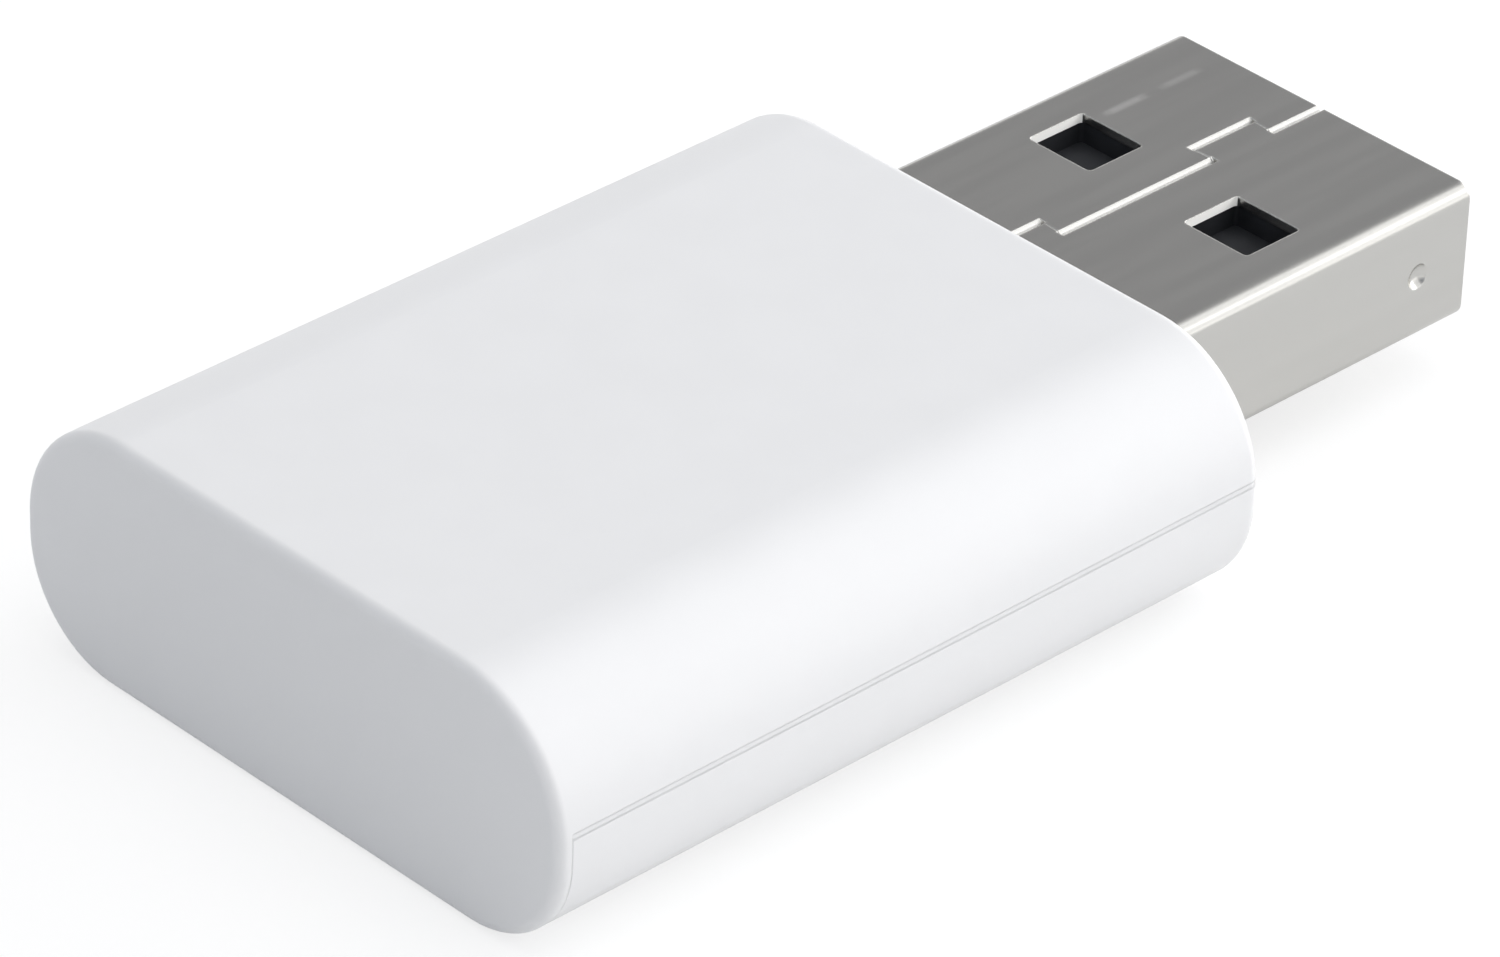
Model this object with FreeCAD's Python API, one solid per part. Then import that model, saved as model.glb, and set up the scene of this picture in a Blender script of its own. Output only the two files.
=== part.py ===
# Signal repeater in the shape of a short stick: a two-part moulded case, a folded steel plug
# and the small radio board that the case holds.
# Millimetres. +X runs along the plug, +Z is up, through the face that carries the plug's seam.
# The origin is under the middle of the whole stick, on the surface that it lies on.
import FreeCAD, Part
import math
import os

# Case
CASE_WALL = 1.2
SIDE_LAND_ABOVE = 0.05
SIDE_LAND_BELOW = 0.55
PARTING_RISE = 0.4
REAR_EDGE_RADIUS = 0.35
FRONT_EDGE_RADIUS = 0.4
END_PLATE = 0.5
CAVITY_EDGE_CHAMFER = 0.35
REVEAL_DEPTH = 0.05
REVEAL_HEIGHT = 0.18

# Lip and snap ridges between the two halves of the case
LIP_THICKNESS = 0.5
LIP_HEIGHT = 0.7
LIP_CLEARANCE = 0.05
SNAP_RADIUS = 0.25
SNAP_PROUD = 0.14
SNAP_LENGTH = 4.0
SNAP_SPACING = 13.0

# Ribs and posts inside the case
RIB_THICKNESS = 0.8
STOP_RIB_WIDTH = 9.0
CRADLE_RIB_SPACING = 7.2
POST_RADIUS = 1.2
PIN_RADIUS = 0.65
PIN_CLEARANCE = 0.08
PIN_RISE = 1.2
BOSS_RADIUS = 1.3
POST_FROM_BOARD_FRONT = 5.2
POST_FROM_BOARD_SIDE = 1.6
REST_RIB_FROM_REAR = 2.6
REST_RIB_SPACING = 7.0
HOLD_DOWN_LENGTH = 1.5
HOLD_DOWN_FROM_SIDE = 0.9
SEAT_CLEARANCE = 0.05

# Plug shell, folded from one sheet
PLUG_WIDTH = 12.0
PLUG_HEIGHT = 4.5
PLUG_EXPOSED = 13.9
PLUG_INSIDE = 4.85
PLUG_MARGIN = 0.6
PLUG_CLEARANCE = 0.06
SHEET = 0.3
BEND_INSIDE = 0.2
TIP_CHAMFER = 0.05
WINDOW_LENGTH = 2.25
WINDOW_WIDTH = 2.5
WINDOW_FROM_TIP = 5.6
WINDOW_SPACING = 6.3
WINDOW_CORNER = 0.15
DIMPLE_FROM_TIP = 2.1
DIMPLE_RADIUS = 0.42
DIMPLE_DEPTH = 0.22
SEAM_GAP = 0.12
SEAM_FLANK_GAP = 0.03
SEAM_ROLLOVER = 0.09
SEAM_TAB_REACH = 0.85
SEAM_TAB_LENGTH = 2.45
SEAM_TAB_FLARE = 0.05
SEAM_TAB_FROM_TIP = 2.15
SEAM_TAB_PITCH = 8.8
ARM_LENGTH = 2.3
ARM_HEIGHT = 1.6
LEG_WIDTH = 1.2
LEG_FLOOR_GAP = 0.75

# Plug insulator and contacts
TONGUE_THICKNESS = 1.95
TONGUE_SETBACK = 0.45
TONGUE_CHAMFER = 0.5
MOUTH_DEPTH = 8.65
INSULATOR_CLEARANCE = 0.04
POCKET_DEPTH = 0.7
CONTACT_THICKNESS = 0.25
CONTACT_WIDTH = 1.0
CONTACT_PROUD = 0.1
CONTACT_CLEARANCE = 0.03
CONTACT_HOOK = 0.45
POWER_SETBACK = 1.24
DATA_SETBACK = 2.24
POWER_SPACING = 7.0
DATA_SPACING = 2.0
TAIL_DROP = 0.4
TAIL_RUN = 0.35
TAIL_FOOT = 1.3

# Main board
BOARD_THICKNESS = 1.0
BOARD_MARGIN = 2.0
BOARD_SIDE_GAP = 0.7
BOARD_END_GAP = 0.55
BOARD_PLUG_GAP = 0.2
BOARD_CORNER = 0.5
FRONT_STRIP = 7.6
SLOT_CLEARANCE = 0.12

# Radio module
MODULE_THICKNESS = 0.8
CASTELLATION_RADIUS = 0.3
CASTELLATION_PITCH = 1.7
CASTELLATION_COUNT = 5
CASTELLATION_FROM_FRONT = 0.9
ANTENNA_STRIP = 4.1
ANTENNA_EDGE = 0.4
ANTENNA_TRACK = 0.4
ANTENNA_COPPER = 0.05
ANTENNA_PITCH = 1.0
ANTENNA_TURNS = 5
CAN_SHEET = 0.2
CAN_CORNER = 0.6
CAN_HEADROOM = 0.75
CAN_VENT_RADIUS = 0.35
CAN_VENT_PITCH = 3.0
CAN_FROM_FRONT = 0.5
CAN_FROM_SIDE = 1.7

# Parts soldered to the module and the board
CHIP_SIDE = 5.0
CHIP_HEIGHT = 0.85
CHIP_ROOM_X = 1.1
CHIP_ROOM_Y = 0.8
CHIP_MARK_RADIUS = 0.35
CHIP_MARK_DEPTH = 0.1
CHIP_MARK_FROM_EDGE = 0.7
CRYSTAL_LENGTH = 2.0
CRYSTAL_WIDTH = 2.5
CRYSTAL_HEIGHT = 0.6
CRYSTAL_CORNER = 0.15
DECOUPLER_LENGTH = 1.0
DECOUPLER_WIDTH = 0.5
DECOUPLER_PITCH = 1.2
DECOUPLER_COUNT = 4
DECOUPLER_ROOM = 0.15
REGULATOR_LENGTH = 2.9
REGULATOR_WIDTH = 1.6
REGULATOR_HEIGHT = 1.1
REGULATOR_STANDOFF = 0.1
REGULATOR_TAPER = 0.12
LEAD_THICKNESS = 0.15
LEAD_WIDTH = 0.4
LEAD_PITCH = 0.95
LEAD_REACH = 0.6
CAPACITOR_LENGTH = 2.0
CAPACITOR_WIDTH = 1.25
CAPACITOR_HEIGHT = 0.9
CAPACITOR_EDGE = 0.08
SMALL_CHIP_LENGTH = 1.6
SMALL_CHIP_WIDTH = 0.8
RESISTOR_HEIGHT = 0.45
LED_BASE_HEIGHT = 0.3
LED_HEIGHT = 0.6
LED_LENS_LENGTH = 1.0
COMPONENT_ROW_FROM_MODULE = 2.4
REGULATOR_Y = 3.4
INPUT_CAPACITOR_Y = 0.7
OUTPUT_CAPACITOR_Y = -1.2
RESISTOR_Y = -2.9
LED_Y = -4.6

# Sizes that follow from those above
BEND_RADIUS = SHEET + BEND_INSIDE
SIDE_STRIP = (DECOUPLER_COUNT - 1) * DECOUPLER_PITCH + DECOUPLER_WIDTH + 2 * DECOUPLER_ROOM
CAN_LENGTH = CHIP_SIDE + 2 * (CHIP_ROOM_X + CAN_SHEET)
CAN_WIDTH = CHIP_SIDE + CHIP_ROOM_Y + SIDE_STRIP + 2 * CAN_SHEET
CAN_HEIGHT = CHIP_HEIGHT + CAN_HEADROOM + CAN_SHEET
MODULE_LENGTH = ANTENNA_STRIP + CAN_LENGTH + CAN_FROM_FRONT
MODULE_WIDTH = CAN_WIDTH + 2 * CAN_FROM_SIDE
BOARD_LENGTH = MODULE_LENGTH + FRONT_STRIP
BOARD_WIDTH = MODULE_WIDTH + 2 * BOARD_MARGIN
BODY_HEIGHT = PLUG_HEIGHT + 2 * (PLUG_MARGIN + CASE_WALL)
BODY_WIDTH = BOARD_WIDTH + 2 * (BOARD_SIDE_GAP + CASE_WALL)
BODY_LENGTH = PLUG_INSIDE + BOARD_PLUG_GAP + BOARD_LENGTH + BOARD_END_GAP + CASE_WALL

TIP_X = (BODY_LENGTH + PLUG_EXPOSED) / 2
FRONT_X = TIP_X - PLUG_EXPOSED
REAR_X = FRONT_X - BODY_LENGTH
PLUG_REAR_X = FRONT_X - PLUG_INSIDE
BOARD_FRONT_X = PLUG_REAR_X - BOARD_PLUG_GAP
BOARD_REAR_X = BOARD_FRONT_X - BOARD_LENGTH
MODULE_FRONT_X = BOARD_REAR_X + MODULE_LENGTH
COMPONENT_ROW_X = MODULE_FRONT_X + COMPONENT_ROW_FROM_MODULE

PLUG_MID_Z = BODY_HEIGHT / 2
PARTING_Z = PLUG_MID_Z + PARTING_RISE
FLOOR_Z = CASE_WALL
CEILING_Z = BODY_HEIGHT - CASE_WALL
PLUG_LOW_Z = PLUG_MID_Z - PLUG_HEIGHT / 2
PLUG_HIGH_Z = PLUG_MID_Z + PLUG_HEIGHT / 2
TONGUE_LOW_Z = PLUG_HIGH_Z - SHEET - TONGUE_THICKNESS
CONTACT_LOW_Z = TONGUE_LOW_Z - CONTACT_PROUD
BOARD_TOP_Z = CONTACT_LOW_Z - TAIL_DROP
BOARD_LOW_Z = BOARD_TOP_Z - BOARD_THICKNESS
MODULE_TOP_Z = BOARD_TOP_Z + MODULE_THICKNESS

TOP_CORNER_RADIUS = BODY_HEIGHT / 2 - SIDE_LAND_ABOVE
BOTTOM_CORNER_RADIUS = BODY_HEIGHT / 2 - SIDE_LAND_BELOW
DIMPLE_SPHERE = (DIMPLE_RADIUS ** 2 + DIMPLE_DEPTH ** 2) / (2 * DIMPLE_DEPTH)
POST_X = BOARD_FRONT_X - POST_FROM_BOARD_FRONT
POST_Y = BOARD_WIDTH / 2 - POST_FROM_BOARD_SIDE
WINDOW_X = TIP_X - WINDOW_FROM_TIP - WINDOW_LENGTH / 2
LEG_X = PLUG_REAR_X - ARM_LENGTH
CONTACT_ROWS = (
    ("ground_contact", -POWER_SPACING / 2, POWER_SETBACK),
    ("data_plus_contact", -DATA_SPACING / 2, DATA_SETBACK),
    ("data_minus_contact", DATA_SPACING / 2, DATA_SETBACK),
    ("supply_contact", POWER_SPACING / 2, POWER_SETBACK),
)
# How far a cutting tool runs past the surface that it breaks through
OVERRUN = 1.0
# How near two coordinates are when they count as the same
TOUCH = 1e-6


def vector(x, y, z):
    return FreeCAD.Vector(x, y, z)


def box(x_range, y_range, z_range):
    """A block between three pairs of limits."""
    size = [high - low for low, high in (x_range, y_range, z_range)]
    return Part.makeBox(*size, vector(x_range[0], y_range[0], z_range[0]))


def both_sides(y):
    return (-y, y)


def centred_box(centre, size, z_low):
    """A block of size (x, y, z) that stands on z_low, centred on (x, y)."""
    return Part.makeBox(*size, vector(centre[0] - size[0] / 2, centre[1] - size[1] / 2, z_low))


def upright_cylinder(x, y, z_low, z_high, radius):
    return Part.makeCylinder(radius, z_high - z_low, vector(x, y, z_low))


def rounded_plan(x_range, y_half, z_range, radius):
    """A block whose upright corners are rounded."""
    block = box(x_range, (-y_half, y_half), z_range)
    return block.makeFillet(radius, [e for e in block.Edges if is_upright(e)])


def is_upright(edge):
    bounds = edge.BoundBox
    return bounds.XLength < TOUCH and bounds.YLength < TOUCH


def mitred_outline(points, thickness):
    """Both sides of a bent strip of even thickness that follows a 2-D centre line."""
    directions = []
    for (ax, ay), (bx, by) in zip(points, points[1:]):
        length = math.hypot(bx - ax, by - ay)
        directions.append(((bx - ax) / length, (by - ay) / length))
    sides = []
    for side in (1, -1):
        line = []
        for i, (px, py) in enumerate(points):
            before = directions[max(i - 1, 0)]
            after = directions[min(i, len(directions) - 1)]
            nx, ny = -(before[1] + after[1]), before[0] + after[0]
            scale = side * thickness / (nx * nx + ny * ny)
            line.append((px + nx * scale, py + ny * scale))
        sides.append(line)
    return sides[0] + sides[1][::-1]


def strip_in_plan(points, thickness, z_low, z_high):
    """A bent strip that stands on the XY plane, such as a copper track or a seam's cut."""
    corners = [vector(x, y, z_low) for x, y in mitred_outline(points, thickness)]
    face = Part.Face(Part.makePolygon(corners + corners[:1]))
    return face.extrude(vector(0, 0, z_high - z_low))


def strip_in_side_view(points, thickness, y_centre, width):
    """A bent strip seen edge-on along Y, such as a contact or a lead."""
    corners = [vector(x, y_centre - width / 2, z) for x, z in mitred_outline(points, thickness)]
    face = Part.Face(Part.makePolygon(corners + corners[:1]))
    return face.extrude(vector(0, width, 0))


def rounded_section(x, y_half, z_low, z_high, low_radius, high_radius):
    """A closed outline in the YZ plane: flat top and bottom, with a round side at each end."""
    turn = math.sqrt(0.5)
    low_y, high_y = y_half - low_radius, y_half - high_radius
    low_z, high_z = z_low + low_radius, z_high - high_radius
    right = [
        vector(x, low_y, z_low),
        vector(x, low_y + low_radius * turn, low_z - low_radius * turn),
        vector(x, y_half, low_z),
        vector(x, y_half, high_z),
        vector(x, high_y + high_radius * turn, high_z + high_radius * turn),
        vector(x, high_y, z_high),
    ]
    left = [vector(p.x, -p.y, p.z) for p in right]
    edges = [
        Part.Arc(right[0], right[1], right[2]).toShape(),
        Part.makeLine(right[2], right[3]),
        Part.Arc(right[3], right[4], right[5]).toShape(),
        Part.makeLine(right[5], left[5]),
        Part.Arc(left[5], left[4], left[3]).toShape(),
        Part.makeLine(left[3], left[2]),
        Part.Arc(left[2], left[1], left[0]).toShape(),
        Part.makeLine(left[0], right[0]),
    ]
    return Part.Wire(edges)


def case_block(inset):
    """The case's outer form, or the form that lies the given depth under its skin."""
    wire = rounded_section(
        REAR_X + inset,
        BODY_WIDTH / 2 - inset,
        inset,
        BODY_HEIGHT - inset,
        BOTTOM_CORNER_RADIUS - inset,
        TOP_CORNER_RADIUS - inset,
    )
    return Part.Face(wire).extrude(vector(BODY_LENGTH - 2 * inset, 0, 0))


def half_width_at(z, inset):
    """Half the width of case_block(inset) at height z."""
    y_half = BODY_WIDTH / 2 - inset
    for radius, centre_z, sign in (
        (TOP_CORNER_RADIUS - inset, BODY_HEIGHT - TOP_CORNER_RADIUS, 1),
        (BOTTOM_CORNER_RADIUS - inset, BOTTOM_CORNER_RADIUS, -1),
    ):
        rise = (z - centre_z) * sign
        if rise > 0:
            return y_half - radius + math.sqrt(radius ** 2 - rise ** 2)
    return y_half


def z_slab(z_low, z_high):
    """Everything between two heights."""
    reach = BODY_LENGTH
    return box((REAR_X - reach, TIP_X + reach), both_sides(BODY_WIDTH), (z_low, z_high))


def case_form():
    """The case's outer form, with the rims of both ends rounded."""
    form = case_block(0)
    for x, radius in ((REAR_X, REAR_EDGE_RADIUS), (FRONT_X, FRONT_EDGE_RADIUS)):
        form = form.makeFillet(radius, [e for e in form.Edges if is_at_x(e, x)])
    return form


def case_cavity():
    """The hollow of the case, with its end corners filled by a chamfer."""
    cavity = case_block(CASE_WALL)
    ends = (REAR_X + CASE_WALL, FRONT_X - CASE_WALL)
    rims = [e for e in cavity.Edges if any(is_at_x(e, x) for x in ends)]
    return cavity.makeChamfer(CAVITY_EDGE_CHAMFER, rims)


def is_at_x(edge, x):
    bounds = edge.BoundBox
    return abs(bounds.XMin - x) < TOUCH and abs(bounds.XMax - x) < TOUCH


def plug_opening():
    """The hole that the plug passes through, a running gap larger than the plug."""
    wire = rounded_section(
        FRONT_X - CASE_WALL - OVERRUN,
        PLUG_WIDTH / 2 + PLUG_CLEARANCE,
        PLUG_LOW_Z - PLUG_CLEARANCE,
        PLUG_HIGH_Z + PLUG_CLEARANCE,
        BEND_RADIUS + PLUG_CLEARANCE,
        BEND_RADIUS + PLUG_CLEARANCE,
    )
    return Part.Face(wire).extrude(vector(CASE_WALL + 2 * OVERRUN, 0, 0))


def snap_ridges(grow):
    """Two ridges on each long side of the lip, grown by a clearance for the grooves they snap into."""
    z = PARTING_Z + LIP_HEIGHT / 2
    lip_y = half_width_at(z, CASE_WALL - LIP_THICKNESS)
    y = lip_y + SNAP_PROUD - SNAP_RADIUS
    middle = (REAR_X + FRONT_X) / 2
    ridges = []
    for side in (-1, 1):
        for end in (-1, 1):
            start = middle + end * SNAP_SPACING / 2 - SNAP_LENGTH / 2 - grow
            ridges.append(
                Part.makeCylinder(
                    SNAP_RADIUS + grow,
                    SNAP_LENGTH + 2 * grow,
                    vector(start, side * y, z),
                    vector(1, 0, 0),
                )
            )
    return ridges


def fuse_all(first, others):
    return first.multiFuse(list(others)).removeSplitter()


def compound(shapes):
    return Part.makeCompound(list(shapes))


def end_plate_block():
    """The room that the end plate takes, from the ground to the parting line."""
    return box((REAR_X - OVERRUN, REAR_X + END_PLATE), both_sides(BODY_WIDTH), (0, PARTING_Z))


def lower_shell():
    """The lower half: floor, walls, lip, ribs under the board and the plug, and two posts."""
    shell = case_form().common(z_slab(0, PARTING_Z)).cut(case_cavity()).cut(end_plate_block())
    lip_slab = z_slab(PARTING_Z, PARTING_Z + LIP_HEIGHT)
    lip = case_block(CASE_WALL - LIP_THICKNESS).cut(case_cavity()).common(lip_slab)
    reveal_slab = (PARTING_Z - REVEAL_HEIGHT, PARTING_Z)
    outside = box((REAR_X, FRONT_X + OVERRUN), both_sides(BODY_WIDTH), reveal_slab)
    inside = rounded_plan(
        (REAR_X, FRONT_X - REVEAL_DEPTH),
        BODY_WIDTH / 2 - REVEAL_DEPTH,
        reveal_slab,
        FRONT_EDGE_RADIUS - REVEAL_DEPTH,
    )
    shell = shell.cut(outside.cut(inside))
    inner = compound(lower_features()).common(case_block(CASE_WALL / 2))
    shell = fuse_all(shell, [lip, *inner.Solids])
    shell = fuse_all(shell, [r.common(lip_slab) for r in snap_ridges(0)])
    return shell.cut(plug_opening())


def lower_features():
    """Ribs and posts that rise from the floor, rooted in the wall."""
    root_z = FLOOR_Z / 2
    stop_x = PLUG_REAR_X - SEAT_CLEARANCE
    features = [
        box((stop_x - RIB_THICKNESS, stop_x), both_sides(STOP_RIB_WIDTH / 2), (root_z, BOARD_LOW_Z))
    ]
    for side in (-1, 1):
        y = side * CRADLE_RIB_SPACING / 2
        features.append(
            box(
                (PLUG_REAR_X, FRONT_X - CASE_WALL / 2),
                (y - RIB_THICKNESS / 2, y + RIB_THICKNESS / 2),
                (root_z, PLUG_LOW_Z - PLUG_CLEARANCE),
            )
        )
        post = upright_cylinder(POST_X, side * POST_Y, root_z, BOARD_LOW_Z, POST_RADIUS)
        pin = upright_cylinder(POST_X, side * POST_Y, root_z, BOARD_TOP_Z + PIN_RISE, PIN_RADIUS)
        features.append(post.fuse(pin))
    for i in range(2):
        x = BOARD_REAR_X + REST_RIB_FROM_REAR + i * REST_RIB_SPACING
        features.append(
            box((x, x + RIB_THICKNESS), both_sides(BOARD_WIDTH / 2), (root_z, BOARD_LOW_Z))
        )
    return features


def upper_shell():
    """The upper half: roof, walls, the rebate for the lip, ribs, two bosses and the end plate."""
    rebate_z = PARTING_Z + LIP_HEIGHT + LIP_CLEARANCE
    rebate = case_block(CASE_WALL - LIP_THICKNESS - LIP_CLEARANCE).common(z_slab(0, rebate_z))
    shell = case_form().common(z_slab(PARTING_Z, BODY_HEIGHT)).cut(case_cavity()).cut(rebate)
    shell = fuse_all(shell, [case_form().common(end_plate_block())])
    inner = compound(upper_features())
    above = inner.common(case_block(CASE_WALL / 2)).common(z_slab(rebate_z, BODY_HEIGHT))
    below = inner.common(case_block(CASE_WALL + LIP_CLEARANCE)).common(z_slab(0, rebate_z))
    shell = fuse_all(shell, [*above.Solids, *below.Solids])
    shell = shell.cut(compound(snap_ridges(LIP_CLEARANCE)))
    return shell.cut(plug_opening())


def upper_features():
    """Ribs and bosses that hang from the roof, rooted in the wall."""
    root_z = (CEILING_Z + BODY_HEIGHT) / 2
    stop_x = PLUG_REAR_X - SEAT_CLEARANCE
    stop_z = PLUG_HIGH_Z - SHEET - TONGUE_THICKNESS / 2
    features = [
        box((stop_x - RIB_THICKNESS, stop_x), both_sides(STOP_RIB_WIDTH / 2), (stop_z, root_z))
    ]
    hold_z = BOARD_TOP_Z + SEAT_CLEARANCE
    for side in (-1, 1):
        y = side * CRADLE_RIB_SPACING / 2
        features.append(
            box(
                (PLUG_REAR_X, FRONT_X - CASE_WALL / 2),
                (y - RIB_THICKNESS / 2, y + RIB_THICKNESS / 2),
                (PLUG_HIGH_Z + PLUG_CLEARANCE, root_z),
            )
        )
        boss = upright_cylinder(POST_X, side * POST_Y, hold_z, root_z, BOSS_RADIUS)
        bore_z = BOARD_TOP_Z + PIN_RISE + PIN_CLEARANCE
        bore = upright_cylinder(
            POST_X, side * POST_Y, hold_z - OVERRUN, bore_z, PIN_RADIUS + PIN_CLEARANCE
        )
        features.append(boss.cut(bore))
        hold_y = side * (BOARD_WIDTH / 2 - HOLD_DOWN_FROM_SIDE)
        features.append(
            box(
                (REAR_X + CASE_WALL / 2, BOARD_REAR_X + HOLD_DOWN_LENGTH),
                (hold_y - RIB_THICKNESS / 2, hold_y + RIB_THICKNESS / 2),
                (hold_z, root_z),
            )
        )
    return features


def plug_tube(inset):
    """A bar with the plug's section, or with the section that lies inset under its skin."""
    wire = rounded_section(
        PLUG_REAR_X,
        PLUG_WIDTH / 2 - inset,
        PLUG_LOW_Z + inset,
        PLUG_HIGH_Z - inset,
        BEND_RADIUS - inset,
        BEND_RADIUS - inset,
    )
    return Part.Face(wire).extrude(vector(TIP_X - PLUG_REAR_X, 0, 0))


def seam_line():
    """The line where the two edges of the sheet meet, with a dovetail tab at each pitch."""
    points = [(TIP_X + OVERRUN, 0)]
    start = TIP_X - SEAM_TAB_FROM_TIP
    while start - SEAM_TAB_LENGTH > PLUG_REAR_X:
        points += [
            (start, 0),
            (start + SEAM_TAB_FLARE, SEAM_TAB_REACH),
            (start - SEAM_TAB_LENGTH - SEAM_TAB_FLARE, SEAM_TAB_REACH),
            (start - SEAM_TAB_LENGTH, 0),
        ]
        start -= SEAM_TAB_PITCH
    points.append((PLUG_REAR_X - OVERRUN, 0))
    return points


def seam_run(x_range, y):
    """A straight run of the slit, wider at the top, where the sheet's edges roll over."""
    half = SEAM_GAP / 2
    low, high = PLUG_HIGH_Z - SHEET - OVERRUN, PLUG_HIGH_Z + OVERRUN
    right = [
        (half, low),
        (half, PLUG_HIGH_Z - SEAM_ROLLOVER),
        (half + SEAM_ROLLOVER, PLUG_HIGH_Z),
        (half + SEAM_ROLLOVER, high),
    ]
    outline = right + [(-dy, z) for dy, z in reversed(right)]
    corners = [vector(x_range[0], y + dy, z) for dy, z in outline]
    face = Part.Face(Part.makePolygon(corners + corners[:1]))
    return face.extrude(vector(x_range[1] - x_range[0], 0, 0))


def seam_cut():
    """The slit along the seam: open on its runs, and nearly closed on the flanks of its tabs."""
    z_range = (PLUG_HIGH_Z - SHEET - OVERRUN, PLUG_HIGH_Z + OVERRUN)
    points = seam_line()
    slits = []
    for start, end in zip(points, points[1:]):
        is_run = start[1] == end[1]
        if is_run:
            slits.append(seam_run((end[0] - SEAM_GAP / 2, start[0] + SEAM_GAP / 2), start[1]))
        else:
            slits.append(strip_in_plan([start, end], SEAM_FLANK_GAP, *z_range))
    return fuse_all(slits[0], slits[1:])


def windows(z_low, z_high, grow):
    """The pair of latch windows as cutting blocks between two heights."""
    blocks = []
    for side in (-1, 1):
        centre = (WINDOW_X, side * WINDOW_SPACING / 2)
        size = (WINDOW_LENGTH + 2 * grow, WINDOW_WIDTH + 2 * grow, z_high - z_low)
        block = centred_box(centre, size, z_low)
        corners = [e for e in block.Edges if is_upright(e)]
        blocks.append(block.makeFillet(WINDOW_CORNER, corners))
    return blocks


def dimple_spheres(radius):
    """A sphere on each side wall, centred outside the sheet."""
    y = PLUG_WIDTH / 2 + DIMPLE_SPHERE - DIMPLE_DEPTH
    x = TIP_X - DIMPLE_FROM_TIP
    return [Part.makeSphere(radius, vector(x, side * y, PLUG_MID_Z)) for side in (-1, 1)]


def plug_shell():
    """The steel sheet folded into a tube, with its seam, windows, dimples and solder legs."""
    tube = plug_tube(0)
    rim = [e for e in tube.Edges if is_at_x(e, TIP_X)]
    tube = tube.makeChamfer(TIP_CHAMFER, rim)
    bore = plug_tube(SHEET)
    bumps = [s.common(plug_tube(SHEET / 2)) for s in dimple_spheres(DIMPLE_SPHERE + SHEET)]
    shell = fuse_all(tube.cut(bore), bumps)
    shell = shell.cut(compound(dimple_spheres(DIMPLE_SPHERE)))
    shell = shell.cut(compound(windows(PLUG_HIGH_Z - SHEET - OVERRUN, PLUG_HIGH_Z + OVERRUN, 0)))
    shell = shell.cut(compound(windows(PLUG_LOW_Z - OVERRUN, PLUG_LOW_Z + SHEET + OVERRUN, 0)))
    arms = []
    for side in (-1, 1):
        wall = sorted((side * (PLUG_WIDTH / 2 - SHEET), side * PLUG_WIDTH / 2))
        arm_z = BOARD_TOP_Z + SEAT_CLEARANCE
        arm = box((LEG_X, PLUG_REAR_X + SHEET), wall, (arm_z, arm_z + ARM_HEIGHT))
        leg = box((LEG_X, LEG_X + LEG_WIDTH), wall, (FLOOR_Z + LEG_FLOOR_GAP, arm_z))
        arms += [arm, leg]
    return fuse_all(shell, arms).cut(seam_cut())


def plug_insulator():
    """The black moulding in the plug: a solid rear block and the tongue that carries the contacts."""
    bar = plug_tube(SHEET + INSULATOR_CLEARANCE)
    mouth_x = TIP_X - MOUTH_DEPTH
    front_x = TIP_X - TONGUE_SETBACK
    y_all = both_sides(PLUG_WIDTH)
    bar = bar.cut(box((mouth_x, TIP_X + OVERRUN), y_all, (PLUG_LOW_Z, TONGUE_LOW_Z)))
    bar = bar.cut(box((front_x, TIP_X + OVERRUN), y_all, (PLUG_LOW_Z, PLUG_HIGH_Z)))
    lower_front = [
        e
        for e in bar.Edges
        if is_at_x(e, front_x) and abs(e.CenterOfMass.z - TONGUE_LOW_Z) < TOUCH
    ]
    bar = bar.makeChamfer(TONGUE_CHAMFER, lower_front)
    gap = CONTACT_CLEARANCE
    grooves = []
    for _, y, setback in CONTACT_ROWS:
        end_x = TIP_X - setback + gap
        y_range = (y - CONTACT_WIDTH / 2 - gap, y + CONTACT_WIDTH / 2 + gap)
        contact_z = (CONTACT_LOW_Z - gap, CONTACT_LOW_Z + CONTACT_THICKNESS + gap)
        grooves.append(box((PLUG_REAR_X - OVERRUN, end_x), y_range, contact_z))
        hook_top = CONTACT_LOW_Z + CONTACT_THICKNESS + CONTACT_HOOK + gap
        hook_x = end_x - CONTACT_HOOK - 2 * CONTACT_THICKNESS
        grooves.append(box((hook_x, end_x), y_range, (CONTACT_LOW_Z - gap, hook_top)))
    pocket_z = PLUG_HIGH_Z - SHEET - POCKET_DEPTH
    grooves += windows(pocket_z, PLUG_HIGH_Z, INSULATOR_CLEARANCE)
    grooves += dimple_spheres(DIMPLE_SPHERE + SHEET + INSULATOR_CLEARANCE)
    return bar.cut(compound(grooves))


def plug_contact(y, setback):
    """One bent contact: hooked front end, straight blade, and a tail that steps down to the board."""
    blade_z = CONTACT_LOW_Z + CONTACT_THICKNESS / 2
    foot_z = BOARD_TOP_Z + CONTACT_THICKNESS / 2
    front_x = TIP_X - setback - CONTACT_THICKNESS / 2
    bend_x = PLUG_REAR_X - TAIL_RUN
    points = [
        (front_x, blade_z + CONTACT_HOOK),
        (front_x - CONTACT_HOOK, blade_z),
        (bend_x, blade_z),
        (bend_x - TAIL_DROP, foot_z),
        (bend_x - TAIL_DROP - TAIL_FOOT, foot_z),
    ]
    return strip_in_side_view(points, CONTACT_THICKNESS, y, CONTACT_WIDTH)


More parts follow.
